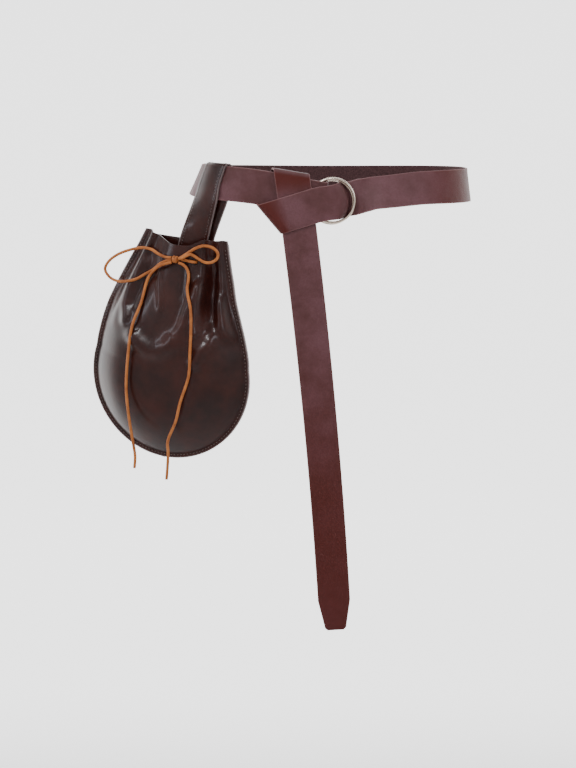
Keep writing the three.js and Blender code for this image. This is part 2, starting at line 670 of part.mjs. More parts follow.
function buildLoop() {
  const away = (STRAP_WALL + LOOP_WALL) / 2 + GAP + LOOP_EASE;
  const level = (along, up) => {
    const round = -along / WAIST_LENGTH;
    const middle = STRAP_WIDTH * readTable(WAIST_ROWS, 'round', 'height', round);
    return -(up - middle) * Math.tan(radians(readTable(WAIST_ROWS, 'round', 'tilt', round)));
  };
  const beltTop = (along) => {
    const round = -along / WAIST_LENGTH;
    return STRAP_WIDTH * readTable(WAIST_ROWS, 'round', 'height', round)
      + HALF_STRAP * Math.cos(radians(readTable(WAIST_ROWS, 'round', 'tilt', round)));
  };
  const beltRow = ({ along, up, slope }, out) => LOOP_ACROSS.map((k) => {
    const reach = (k * LOOP_WIDTH) / 2;
    const x = along + reach * Math.cos(radians(slope));
    const y = up + reach * Math.sin(radians(slope));
    return wrap(new THREE.Vector3(x, y, level(x, y) + out));
  });
  const pouchRow = ({ across, up, slope }, out) => LOOP_ACROSS.map((k) => {
    const reach = (k * LOOP_WIDTH) / 2;
    return onPouch(across + reach * Math.cos(radians(slope)), up + reach * Math.sin(radians(slope)), out);
  });
  const inFront = -PANEL_REST + (POUCH_WALL + LOOP_WALL) / 2 + GAP;
  const behind = -PANEL_REST - (POUCH_WALL + LOOP_WALL) / 2 - GAP;
  const rows = LOOP_ENDS.front.map((row) => pouchRow(row, inFront));
  rows.push(...LOOP_ON_BELT.front.map((row) => beltRow(row, away)));
  const [from, to] = LOOP_ON_BELT.top;
  const topSteps = 6;
  for (let i = 0; i <= topSteps; i++) {
    const turn = (Math.PI * i) / topSteps;
    rows.push(LOOP_ACROSS.map((k) => {
      const along = mix(from.along, to.along, i / topSteps) + (k * LOOP_WIDTH) / 2;
      const up = beltTop(along) - 0.8 + away * Math.sin(turn);
      return wrap(new THREE.Vector3(along, up, level(along, up) + away * Math.cos(turn)));
    }));
  }
  rows.push(...LOOP_ON_BELT.rear.map((row) => beltRow(row, -away)));
  rows.push(...LOOP_ENDS.rear.map((row) => pouchRow(row, behind)));
  return wallAbout(rows, LOOP_WALL);
}
model.add(named('belt_loop', buildLoop(), pouchLeather));

// The drawstring's stretches in the pouch's frame: across, up and out
const CORD_ROUTES = {
  bow_loop_left: {
    steps: 22,
    points: [[-2.9, 140.2, 22.4], [-11.8, 139.8, 20.9], [-21.9, 141.8, 18], [-31.9, 145.2, 15.6],
      [-44.5, 145.1, 13.4], [-58.1, 141, 11.4], [-73, 134.1, 10], [-84.4, 125.6, 9.4], [-90.4, 116.5, 9.6],
      [-89.5, 110, 10.4], [-81.3, 104, 12.6], [-69.6, 102.7, 17], [-56.7, 105, 19.7], [-44.9, 109.6, 19.9],
      [-35.6, 116.3, 18.9], [-25.9, 123.1, 18.6], [-17.5, 131.2, 19.3], [-8.6, 136.2, 20.5], [-3, 137.6, 21.3]],
  },
  bow_loop_right: {
    steps: 18,
    points: [[7.2, 141.3, 23.6], [11.6, 144.4, 23.7], [18.7, 150.5, 22], [24.6, 155, 20.4], [30.6, 158, 18.6],
      [36.8, 158.7, 17], [43.3, 157.2, 15.4], [48.1, 153.3, 14.2], [49.2, 148.2, 13.8], [46.9, 144, 14.2],
      [42.1, 140.8, 15.4], [35.9, 140.1, 17.2], [29.6, 142.7, 19.6], [24.4, 146, 22], [20.2, 147.6, 24.6],
      [15.6, 145.4, 26.6], [10.6, 142.2, 26.2], [7, 140.9, 25.4]],
  },
  drawstring_tail_left: {
    steps: 14,
    points: [[-1.8, 135.6, 24.2], [-9.6, 132.7, 24.9], [-17.1, 128.6, 24.4], [-23.9, 122.2, 23.2], [-29.2, 114.6, 22.2],
      [-31.5, 105.6, 23.4], [-32, 95.2, 26.8], [-32.8, 83.6, 30.8], [-36.1, 64.4, 39.2], [-37, 52.1, 42.8],
      [-37.6, 38, 43.6], [-38.3, 9, 43.4], [-37.4, -16.9, 42.8], [-32.5, -45.3, 42.4], [-26.1, -70.7, 42.4],
      [-20.8, -90.5, 42.4], [-19.7, -99.3, 42.4], [-19.7, -109, 42.4]],
  },
  drawstring_tail_right: {
    steps: 16,
    points: [[6.6, 136.2, 23.6], [11.7, 134.8, 23.4], [16.5, 131.1, 22.9], [19.5, 125.2, 23.2], [20.7, 117.7, 25],
      [21.1, 110.1, 27.4], [24.1, 101.9, 30.8], [28.4, 93.9, 34.4], [31.9, 84.3, 37.2], [35.2, 65.4, 40.6],
      [36.8, 40.6, 41.6], [38.2, 16.9, 42.2], [36.3, 3.7, 42.2], [30.3, -20.4, 42.2], [27, -42.8, 42.2],
      [20.5, -63, 42.2], [19.3, -72.1, 42.2], [21, -82.1, 42.2], [21.7, -99.8, 42.2], [21.8, -114.6, 42.2]],
  },
  drawstring_neck: {
    steps: 12,
    points: [[8.2, 139.6, 20.6], [13, 139.6, 20.5], [18.5, 139.2, 20.3], [22.8, 138.9, 19.4], [24.6, 138.8, 17],
      [24.4, 138.8, 14.4], [21.5, 138.9, 12.2], [15, 139, 11.4], [8, 139.1, 11.4], [3.6, 139.2, 12.4],
      [2.1, 139.2, 15], [2.1, 139.2, 18.3]],
  },
};

function buildCord({ steps, points }) {
  const profile = new THREE.Shape(Array.from({ length: 8 }, (_, i) => {
    const turn = (Math.PI * (2 * i + 1)) / 8;
    return new THREE.Vector2((CORD / 2) * Math.cos(turn), (CORD / 2) * Math.sin(turn));
  }));
  const route = new THREE.CatmullRomCurve3(points.map((point) => onPouch(...point)));
  return new THREE.ExtrudeGeometry(profile, { steps, extrudePath: route, bevelEnabled: false });
}
for (const [name, route] of Object.entries(CORD_ROUTES)) model.add(named(name, buildCord(route), cordLeather));

const knot = new THREE.SphereGeometry(1, 12, 8);
knot.scale(KNOT.wide / 2, KNOT.deep / 2, KNOT.high / 2);
knot.rotateZ(-radians(POUCH_YAW));
knot.translate(...onPouch(KNOT.across, KNOT.up, KNOT.out).toArray());
model.add(named('bow_knot', knot, cordLeather));

export default model;
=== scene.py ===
"""A drawstring leather pouch hanging by its loop on a ring belt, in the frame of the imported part."""

import math
from bisect import bisect_right

import bmesh
import bpy
from mathutils import Matrix, Quaternion, Vector


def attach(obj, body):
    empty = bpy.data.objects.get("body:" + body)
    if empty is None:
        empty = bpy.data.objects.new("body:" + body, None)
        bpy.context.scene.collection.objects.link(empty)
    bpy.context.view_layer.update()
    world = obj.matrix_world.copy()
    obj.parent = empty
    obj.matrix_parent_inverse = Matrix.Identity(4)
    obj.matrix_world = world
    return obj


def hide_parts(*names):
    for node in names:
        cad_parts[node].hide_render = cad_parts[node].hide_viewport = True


bl_info = {
    "name": "Belt Pouch",
    "version": (1, 0, 0),
    "blender": (4, 5, 0),
    "location": "View3D > Sidebar > Belt Pouch",
    "description": "Builds a drawstring leather pouch and the ring belt that it hangs on",
    "category": "Object",
}

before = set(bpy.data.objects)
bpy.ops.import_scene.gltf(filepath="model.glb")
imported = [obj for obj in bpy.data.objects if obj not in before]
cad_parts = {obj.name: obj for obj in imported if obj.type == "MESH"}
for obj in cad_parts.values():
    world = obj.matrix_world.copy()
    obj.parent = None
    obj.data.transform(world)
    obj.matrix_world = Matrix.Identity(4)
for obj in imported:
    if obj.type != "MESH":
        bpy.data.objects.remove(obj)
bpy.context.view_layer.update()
MM = 0.001


def srgb(red, green, blue):
    """A colour as it is seen, 0 to 255, in Blender's linear values"""
    def linear(value):
        share = value / 255
        return share / 12.92 if share <= 0.04045 else ((share + 0.055) / 1.055) ** 2.4
    return (linear(red), linear(green), linear(blue))


def mix(low, high, share):
    """The value at a share of the way from low to high"""
    return low + (high - low) * share


def smooth(value, low, high):
    """0 below low, 1 above high, smooth between"""
    share = min(max((value - low) / (high - low), 0), 1)
    return share * share * (3 - 2 * share)


def read_table(rows, column, at):
    """A column's value between the rows, along a smooth curve; the first column is the key"""
    last = len(rows) - 1
    if at <= rows[0][0]:
        return rows[0][column]
    if at >= rows[last][0]:
        return rows[last][column]
    i = next(k for k in range(last) if at <= rows[k + 1][0])

    def after(k):
        return (rows[k + 1][column] - rows[k][column]) / (rows[k + 1][0] - rows[k][0])

    def slope(k):
        if k == 0:
            return after(0)
        if k == last:
            return after(last - 1)
        left, right = after(k - 1), after(k)
        return 0 if left * right <= 0 else 2 * left * right / (left + right)

    step = rows[i + 1][0] - rows[i][0]
    t = (at - rows[i][0]) / step
    u = 1 - t
    ends = rows[i][column] * u * u * (1 + 2 * t) + rows[i + 1][column] * t * t * (1 + 2 * u)
    return ends + step * (slope(i) * u * u * t - slope(i + 1) * t * t * u)


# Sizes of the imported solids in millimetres
STRAP_WIDTH = 38
STRAP_WALL = 2.2
HALF_STRAP = STRAP_WIDTH / 2
WAIST_HALF_WIDTH = 159.5
WAIST_HALF_DEPTH = 112
WAIST_SQUARENESS = 2.8
LOOP_SIDE_SQUARENESS = 3.5
GAP = 0.35
LAYER = STRAP_WALL + GAP
RING_OUTER = 51
RING_WIRE = 3
RING_TURN = 3
RING_SLIP = 1.3
RING_DROP = 11.8
RING_SIDE = -3.8
RING_MID = (RING_OUTER - RING_WIRE) / 2
RING_PITCH = RING_WIRE + GAP
RING_FOLD = (2 * RING_WIRE + 3 * GAP + STRAP_WALL) / 2
RING_DEPTH = -RING_WIRE / 2
FOLD_REACH = math.sqrt(RING_MID ** 2 - (HALF_STRAP + RING_SLIP / 2) ** 2) - RING_SLIP / 2
RING_LEAN = math.tan(math.radians(RING_TURN))
LEFT_SLOPE = 10.5
DIAGONAL_SLOPE = 17.3
DIAGONAL_RUN = 46.5
RISER_RUN = 49
TAIL_LENGTH = 536
UPRIGHT_RUN = 60
TIP_LENGTH = 38
TIP_CUT = 3
FOLD_SLANT = 23
FOLD_FRONT = 6
FOLD_CREASE = 1.6
TOP_SLANT = -17.5
TOP_CREASE = 3.2
FRONT_LEVEL = RING_DEPTH + RING_FOLD
TAB_LEVEL = RING_DEPTH - RING_FOLD
UPRIGHT_LEVEL = FRONT_LEVEL + LAYER
DIAGONAL_LEVEL = UPRIGHT_LEVEL + LAYER
RISER_LEVEL = TAB_LEVEL - 0.35 * STRAP_WALL


def waist_line(samples=4000):
    """Points round the waist from the front to the right, and their distances along it"""
    points = []
    for i in range(samples + 1):
        turn = math.tau * i / samples
        squareness = LOOP_SIDE_SQUARENESS if turn > 1.5 * math.pi else WAIST_SQUARENESS
        wide = abs(math.sin(turn) / WAIST_HALF_WIDTH) ** squareness
        deep = abs(math.cos(turn) / WAIST_HALF_DEPTH) ** squareness
        reach = (wide + deep) ** (-1 / squareness)
        points.append(Vector((reach * math.sin(turn), -reach * math.cos(turn), 0)))
    lengths = [0]
    for a, b in zip(points, points[1:]):
        lengths.append(lengths[-1] + (b - a).length)
    return points, lengths


WAIST_POINTS, WAIST_LENGTHS = waist_line()
WAIST_LENGTH = WAIST_LENGTHS[-1]


def wrap(flat):
    """The place of a flat layout point (along the waist, up, outwards), in millimetres"""
    at = flat.x % WAIST_LENGTH
    k = min(bisect_right(WAIST_LENGTHS, at) - 1, len(WAIST_POINTS) - 2)
    a, b = WAIST_POINTS[k], WAIST_POINTS[k + 1]
    share = (at - WAIST_LENGTHS[k]) / (WAIST_LENGTHS[k + 1] - WAIST_LENGTHS[k])
    on = a.lerp(b, share)
    tangent = (b - a).normalized()
    return Vector((on.x + tangent.y * flat.z, on.y - tangent.x * flat.z, flat.y))


def along_at(x):
    """How far along the waist a place at the front lies"""
    low, high = (-WAIST_LENGTH / 4, 0) if x < 0 else (0, WAIST_LENGTH / 4)
    for _ in range(40):
        middle = (low + high) / 2
        if wrap(Vector((middle, 0, 0))).x < x:
            low = middle
        else:
            high = middle
    return (low + high) / 2


RING_CENTRE = Vector((along_at(RING_SIDE), -RING_DROP, RING_DEPTH + FOLD_REACH * RING_LEAN))
BEHIND_LEVEL = (RING_CENTRE.z + (FOLD_REACH - RING_SLIP) * RING_LEAN
                - (RING_PITCH + RING_WIRE) / 2 - GAP - STRAP_WALL / 2)

# Turned-back end: reach in ring radii, closeness to the strap, width share
TAB_ROWS = [(1.688, 1, 0.55), (1.45, 1, 0.72), (1.12, 0.1, 0.95), (0.85, 0, 1)]
# Left strap past its fold: reach in ring radii, share of the way down to the waist line
LEFT_ROWS = [(0.85, 0), (1.1, 0.04), (1.3, 0.3), (1.55, 0.75), (1.8, 1)]
# Waist loop: share of the way round, height in strap widths, outward tilt in degrees
WAIST_ROWS = [
    (0.055, -0.093, 0), (0.095, 0.09, 2), (0.13, 0.17, 7), (0.175, 0.22, 16), (0.25, 0.235, 27),
    (0.34, 0.09, 12), (0.5, 0.03, 5), (0.75, 0.066, 6), (0.84, 0.07, 15), (0.885, 0.06, 21),
    (0.94, -0.05, 25),
]
# Rise through the rings: distance past the wire in ring radii, share sunk, share lifted
RISE_ROWS = [
    (-1.2, 0, 0), (-0.3, 1, 0), (0.2, 1, -0.06), (0.27, 1, 0.33), (0.32, 1, 0.74), (0.42, 1, 0.94),
    (0.6, 1, 1.02), (0.95, 1, 1.03), (1.35, 1, 1),
]
# Through the rings: side in ring radii, drop in strap widths, heading, tilt
THROUGH_ROWS = [
    (1.9, -0.23, 188, 25), (1.5, -0.17, 190, 18), (1.2, -0.12, 190, 9), (1.0, -0.08, 190, 3),
    (0.81, -0.06, 190, 0), (0.6, -0.04, 191, 0), (0.35, -0.01, 192, 0), (0.15, 0.015, 192, 0),
    (-0.1, 0.04, 193, 0), (-0.4, 0.06, 194.5, 0),
]
STRAP_ACROSS = [k / 12 - 1 for k in range(25)]
# Too short a stretch between two slanted folds to take any station
UNMARKED = (99, 99)
WAIST_STEPS = 200
LEFT_STEPS = 12
TIP_WIDTHS = (1, 0.66, 0.5)


class Strap:
    """A strap in flat layout, as stations across it, and the stations where its folds meet the front"""

    def __init__(self):
        self.stations = []
        self.marks = []

    def put(self, at, heading, tilt=0, width=1, rise=None):
        """A station at a place, heading along a slope, tilted about its length"""
        self.along = Vector((math.cos(math.radians(heading)), math.sin(math.radians(heading)), 0))
        level = Vector((-self.along.y, self.along.x, 0))
        if level.y < 0:
            level.negate()
        self.across = level * math.cos(math.radians(tilt))
        self.across.z = -math.sin(math.radians(tilt))
        self.face = self.across.cross(self.along)
        self.at = at.copy()
        self.mark(self.across, width, rise)

    def mark(self, across, width=1, rise=None):
        self.stations.append((self.at.copy(), across * HALF_STRAP * width, rise))

    def run(self, length, steps, steer=0, width=(1, 1), skip=(0, 0)):
        """A flat stretch that may steer; nothing is marked within skip of its two ends"""
        for i in range(steps):
            turn = Quaternion(self.face, math.radians(steer) / steps)
            self.along = turn @ self.along
            self.across = turn @ self.across
            self.at = self.at + self.along * (length / steps)
            gone = length * (i + 1) / steps
            if skip[0] <= gone <= length - skip[1]:
                self.mark(self.across, mix(width[0], width[1], gone / length))

    def fold(self, radius, turn, slant, steps):
        """A bend away from the face about a line that slants across the strap"""
        lean = math.radians(slant)
        line = self.across * math.cos(lean) + self.along * math.sin(lean)
        ahead = self.along * math.cos(lean) - self.across * math.sin(lean)
        face = self.face.copy()
        start = self.at.copy()
        for i in range(steps + 1):
            angle = math.radians(turn) * i / steps
            self.at = (start + line * (math.tan(lean) * radius * angle)
                       + ahead * (radius * math.sin(angle)) - face * (radius * (1 - math.cos(angle))))
            self.mark(line / math.cos(lean))
        end = math.radians(turn)
        after = ahead * math.cos(end) - face * math.sin(end)
        self.face = face * math.cos(end) + ahead * math.sin(end)
        self.along = after * math.cos(lean) + line * math.sin(lean)
        self.across = line * math.cos(lean) - after * math.sin(lean)

    def grid(self):
        """The stations' points wrapped round the waist"""
        rows = []
        for at, reach, rise in self.stations:
            row = []
            for k in STRAP_ACROSS:
                flat = at + reach * k
                if rise:
                    flat.z += rise(flat)
                row.append(wrap(flat))
            rows.append(row)
        return rows


def on_left_strap(reach, depth):
    """A place on the left strap's middle line, counted leftwards from the rings' centre"""
    slope = math.radians(LEFT_SLOPE)
    return Vector((RING_CENTRE.x - reach * math.cos(slope), RING_CENTRE.y + reach * math.sin(slope), depth))


def belt_grid():
    """The belt from its turned-back end, round the waist and through the knot, down to its tip"""
    strap = Strap()
    for reach, close, width in TAB_ROWS:
        level = TAB_LEVEL - (reach * RING_MID - FOLD_REACH) * RING_LEAN
        strap.put(on_left_strap(reach * RING_MID, mix(level, -LAYER, close)), -LEFT_SLOPE, width=width)
    strap.put(on_left_strap(FOLD_REACH, TAB_LEVEL), -LEFT_SLOPE)
    strap.stations.pop()
    strap.fold(RING_FOLD, 180, 0, 20)
    for i in range(LEFT_STEPS + 1):
        reach = mix(LEFT_ROWS[0][0], LEFT_ROWS[-1][0], i / LEFT_STEPS)
        level = FRONT_LEVEL * (1 - read_table(LEFT_ROWS, 1, reach))
        strap.put(on_left_strap(reach * RING_MID, level), 180 - LEFT_SLOPE)

    def height(share):
        return STRAP_WIDTH * read_table(WAIST_ROWS, 1, share)

    step = 0.004
    for i in range(WAIST_STEPS + 1):
        share = mix(WAIST_ROWS[0][0], WAIST_ROWS[-1][0], i / WAIST_STEPS)
        heading = math.atan2(height(share + step) - height(share - step), -2 * step * WAIST_LENGTH)
        strap.put(Vector((-share * WAIST_LENGTH, height(share), 0)), math.degrees(heading),
                  tilt=read_table(WAIST_ROWS, 2, share))
    for before, after in zip(THROUGH_ROWS, THROUGH_ROWS[1:] + THROUGH_ROWS[-1:]):
        for part in range(4 if after is not before else 1):
            side, drop, heading, tilt = (mix(a, b, part / 4) for a, b in zip(before, after))
            at = Vector((RING_CENTRE.x - WAIST_LENGTH + side * RING_MID,
                         RING_CENTRE.y - drop * STRAP_WIDTH, 0))
            strap.put(at, heading, tilt=tilt, rise=ring_rise(heading))
    strap.put(Vector((RING_CENTRE.x - WAIST_LENGTH - 0.75 * RING_MID, RING_CENTRE.y - 0.11 * STRAP_WIDTH,
                      DIAGONAL_LEVEL)), 180 + DIAGONAL_SLOPE)
    strap.run(DIAGONAL_RUN, 12, skip=(0, 9))
    strap.marks.append(len(strap.stations))
    strap.fold(FOLD_FRONT, 90, FOLD_SLANT, 12)
    straight = DIAGONAL_LEVEL - RISER_LEVEL - FOLD_FRONT - FOLD_CREASE
    strap.run(straight / math.cos(math.radians(FOLD_SLANT)), 1, skip=UNMARKED)
    strap.fold(FOLD_CREASE, 90, FOLD_SLANT, 8)
    strap.run(RISER_RUN, 10, skip=(9, 8))
    strap.fold(TOP_CREASE, 90, TOP_SLANT, 8)
    straight = UPRIGHT_LEVEL - RISER_LEVEL - 2 * TOP_CREASE
    strap.run(straight / math.cos(math.radians(TOP_SLANT)), 1, skip=UNMARKED)
    strap.fold(TOP_CREASE, 90, TOP_SLANT, 8)
    strap.marks.append(len(strap.stations) - 5)
    strap.run(UPRIGHT_RUN, 12, steer=-1, skip=(8, 0))
    strap.run(TAIL_LENGTH - UPRIGHT_RUN - TIP_LENGTH, 60, steer=-3.6)
    strap.run(TIP_LENGTH - TIP_CUT, 6, width=TIP_WIDTHS[:2])
    strap.run(TIP_CUT, 3, width=TIP_WIDTHS[1:])
    return strap.grid(), strap.marks


def ring_rise(heading):
    """How far the strap lifts over the ring's left side and sinks behind its right side"""
    cos, sin = math.cos(math.radians(heading)), math.sin(math.radians(heading))

    def rise(flat):
        right = flat.x + WAIST_LENGTH - RING_CENTRE.x
        up = flat.y - RING_CENTRE.y
        before = -right * cos - up * sin
        beside = right * sin - up * cos
        past = (math.sqrt(max(RING_MID ** 2 - beside ** 2, 0)) - before) / RING_MID
        sunk = BEHIND_LEVEL * read_table(RISE_ROWS, 1, past)
        return sunk + (DIAGONAL_LEVEL - BEHIND_LEVEL) * read_table(RISE_ROWS, 2, past)
    return rise


# The pouch's own frame and sizes
POUCH_RADIUS = 99.7
POUCH_MIDDLE = (-2.1, -2.5)
POUCH_WALL = 1.6
SEAM_MARGIN = 6
SEAM_INSET = 3.7
BACK_BULGE = 12
BACK_TOP = 161.5
PANEL_REST = (POUCH_WALL + GAP) / 2
YAW = math.radians(18)
LEAN = math.radians(6.4)
POUCH_CENTRE = Vector((-189.3, -65.5, -216.3))
TURN_LEVEL = Vector((math.cos(YAW), -math.sin(YAW), 0))
OUT = Vector((-math.sin(YAW), -math.cos(YAW), 0))
ACROSS = TURN_LEVEL * math.cos(LEAN) - Vector((0, 0, math.sin(LEAN)))
UP = TURN_LEVEL * math.sin(LEAN) + Vector((0, 0, math.cos(LEAN)))
KNOT = {"across": 2.1, "up": 139.2, "out": 22.9}
HOLES = [(KNOT["across"], KNOT["up"]), (24.6, 138.8)]
HOLE = 5.2


def on_pouch(across, up, out):
    """A place in the pouch's own frame: across, up its leaning middle line, out at the front"""
    return POUCH_CENTRE + ACROSS * across + UP * up + OUT * out


# Outline above the round part: height, left edge, right edge
OUTLINE_ROWS = [
    (20, -99.2, 95), (29, -98.4, 93.9), (52, -94.4, 87.8), (74.6, -88.2, 79.8), (98.3, -78.6, 71.4),
    (118.6, -69.3, 66.3), (134, -61.9, 62), (149.4, -54.1, 58.2), (167, -46.4, 54.2),
]
# Front panel by height: depth, reach of its rounding from the seam, share of the mouth's gathers
BODY_ROWS = [
    (-103, 24, 55, 0), (-40, 32, 60, 0), (0, 36, 62, 0), (40, 37, 60, 0), (60, 35, 52, 0.16),
    (80, 31, 42, 0.42), (100, 26, 34, 0.68), (120, 20.5, 28, 0.9), (139, 16.5, 25, 1), (167, 15, 25, 1),
]
# Gathered mouth from edge to edge: share of the way across, share of the depth, rim height
MOUTH_ROWS = [
    (0, 0, 165.4), (0.06, 0, 166.4), (0.14, 0.5, 163.8), (0.2, 0.38, 162.2), (0.26, 0.52, 160.2),
    (0.33, 0.74, 157.4), (0.4, 0.92, 155.2), (0.48, 1, 154.6), (0.58, 1, 155.7), (0.64, 0.97, 157.8),
    (0.7, 0.92, 161.8), (0.74, 0.84, 163.7), (0.785, 0.3, 163.8), (0.83, 0.12, 163.6), (0.9, 0.26, 164.6),
    (0.945, 0, 165.2), (1, 0, 164.6),
]
# Folds in the front panel: rise, half width, then the line that each follows
FOLD_ROWS = [
    (5, 7, [(-36, 142), (-41, 128), (-47, 111), (-53, 97), (-56, 79), (-52, 63), (-43, 56)]),
    (6.4, 10, [(-46, 66), (-38, 49), (-29, 41), (-16, 34), (-4, 35), (7, 41), (17, 53), (23, 68)]),
    (4.6, 6, [(17, 53), (23, 68), (25, 83), (28, 98), (31, 111), (34, 125)]),
    (5, 4.5, [(35, 148), (34.5, 98), (34.5, 72), (37, 62), (43, 57)]),
    (-5, 6, [(39, 150), (42, 120), (46, 97), (49, 78), (47, 62)]),
    (6, 7, [(55, 110), (58, 90), (64, 70), (72, 61), (86, 57)]),
    (4.4, 6, [(57, 68), (54, 50), (47, 40), (42, 28), (34, 20)]),
    (-1.6, 3, [(-30, 138), (-34, 118), (-40, 100), (-44, 84), (-42, 72)]),
    (1.5, 3.5, [(-20, 150), (-18, 130), (-16, 112), (-10, 92), (-8, 74)]),
    (-1.4, 3, [(12, 150), (12, 128), (14, 108), (15, 92)]),
    (1.3, 3, [(-52, 156), (-60, 136), (-68, 114), (-74, 96)]),
]


def outline_at(up):
    """The left and right edges at a height"""
    if up < OUTLINE_ROWS[0][0]:
        half = math.sqrt(max(POUCH_RADIUS ** 2 - (up - POUCH_MIDDLE[1]) ** 2, 0))
        return POUCH_MIDDLE[0] - half, POUCH_MIDDLE[0] + half
    return read_table(OUTLINE_ROWS, 1, up), read_table(OUTLINE_ROWS, 2, up)


def seam_distance(across, up):
    """How far a place lies inside the outline"""
    if up < OUTLINE_ROWS[0][0]:
        return POUCH_RADIUS - math.hypot(across - POUCH_MIDDLE[0], up - POUCH_MIDDLE[1])
    left, right = outline_at(up)
    left_above, right_above = outline_at(up + 1)
    return min((across - left) / math.hypot(1, left_above - left),
               (right - across) / math.hypot(1, right_above - right))


def beside_line(line, across, up):
    """How far a place is away from a line of points and along it"""
    away, along = 1e9, 0
    for i, ((x0, y0), (x, y)) in enumerate(zip(line, line[1:])):
        length = math.hypot(x - x0, y - y0)
        t = min(max(((across - x0) * (x - x0) + (up - y0) * (y - y0)) / length ** 2, 0), 1)
        here = math.hypot(across - mix(x0, x, t), up - mix(y0, y, t))
        if here < away:
            away, along = here, (i + t) / (len(line) - 1)
    return away, along


def rounding(inside, reach):
    """Share of the full depth at a distance in from the seam margin"""
    return math.sin(math.pi / 2 * min(max(inside, 0) / reach, 1)) ** 0.85


def front_depth(across, up):
    """How far out the front panel's middle surface lies, with its gathers and folds"""
    inside = seam_distance(across, up) - SEAM_MARGIN
    depth = read_table(BODY_ROWS, 1, up)
    body = depth * rounding(inside, read_table(BODY_ROWS, 2, up))
    left, right = outline_at(up)
    mouth = depth * read_table(MOUTH_ROWS, 1, (across - left) / max(right - left, 1))
    folds = 0
    for rise, width, line in FOLD_ROWS:
        away, along = beside_line(line, across, up)
        if away < 3 * width:
            ends = smooth(along, 0, 0.2) * (1 - smooth(along, 0.8, 1))
            folds += rise * math.exp(-(away / width) ** 2) * ends
    return PANEL_REST + max(mix(body, mouth, read_table(BODY_ROWS, 3, up)) + folds * smooth(inside, 0, 10), 0)


def back_depth(across, up):
    """How far out the flatter back panel's middle surface lies, below zero"""
    inside = seam_distance(across, up) - SEAM_MARGIN
    return -PANEL_REST - BACK_BULGE * rounding(inside, 70) * (1 - smooth(up, 60, 130))


def place_at(share, up):
    """Shares 0 and 1 are the edges; the ones between keep the width of the seam margin"""
    left, right = outline_at(up)
    margin = SEAM_MARGIN
    if up < OUTLINE_ROWS[0][0]:
        half = (right - left) / 2
        inner = math.sqrt(max((POUCH_RADIUS - SEAM_MARGIN) ** 2 - (up - POUCH_MIDDLE[1]) ** 2, 0))
        margin = min(half - inner, 0.3 * half)
    if share <= 0:
        return left, up
    if share >= 1:
        return right, up
    return mix(left + margin, right - margin, share), up


def panel_places(rim_at, columns, neck_rows, round_rows):
    """Rows of places from the rim down to the lowest point of the round part"""
    shares = [0, 0.0001] + [0.0001 + 0.9998 * i / columns for i in range(1, columns)] + [0.9999, 1]
    rows = []
    for i in range(neck_rows):
        rows.append([place_at(s, mix(rim_at(s), OUTLINE_ROWS[0][0], i / neck_rows)) for s in shares])
    start = math.asin((OUTLINE_ROWS[0][0] - POUCH_MIDDLE[1]) / POUCH_RADIUS)
    for i in range(round_rows):
        turn = mix(start, -math.pi / 2, (i / round_rows) ** 0.96)
        up = POUCH_MIDDLE[1] + POUCH_RADIUS * math.sin(turn)
        rows.append([place_at(s, up) for s in shares])
    rows.append([(POUCH_MIDDLE[0], POUCH_MIDDLE[1] - POUCH_RADIUS + 0.05)] * len(shares))
    return rows


class Value:
    """A shader socket that takes part in Python sums"""

    def __init__(self, shader, socket):
        self.shader = shader
        self.socket = socket

    def maths(self, operation, a, b=0):
        """A Math node's result"""
        node = self.shader.node("ShaderNodeMath", {"operation": operation}, {0: a, 1: b})
        return Value(self.shader, node.outputs[0])

    def __add__(self, other):
        return self.maths("ADD", self, other)

    def __radd__(self, other):
        return self.maths("ADD", other, self)

    def __sub__(self, other):
        return self.maths("SUBTRACT", self, other)

    def __rsub__(self, other):
        return self.maths("SUBTRACT", other, self)

    def __mul__(self, other):
        return self.maths("MULTIPLY", self, other)

    def over(self, low, high):
        """0 below low, 1 above high, smooth between"""
        node = self.shader.node("ShaderNodeMapRange", {"interpolation_type": "SMOOTHSTEP"},
                                {"Value": self, "From Min": low, "From Max": high})
        return Value(self.shader, node.outputs[0])


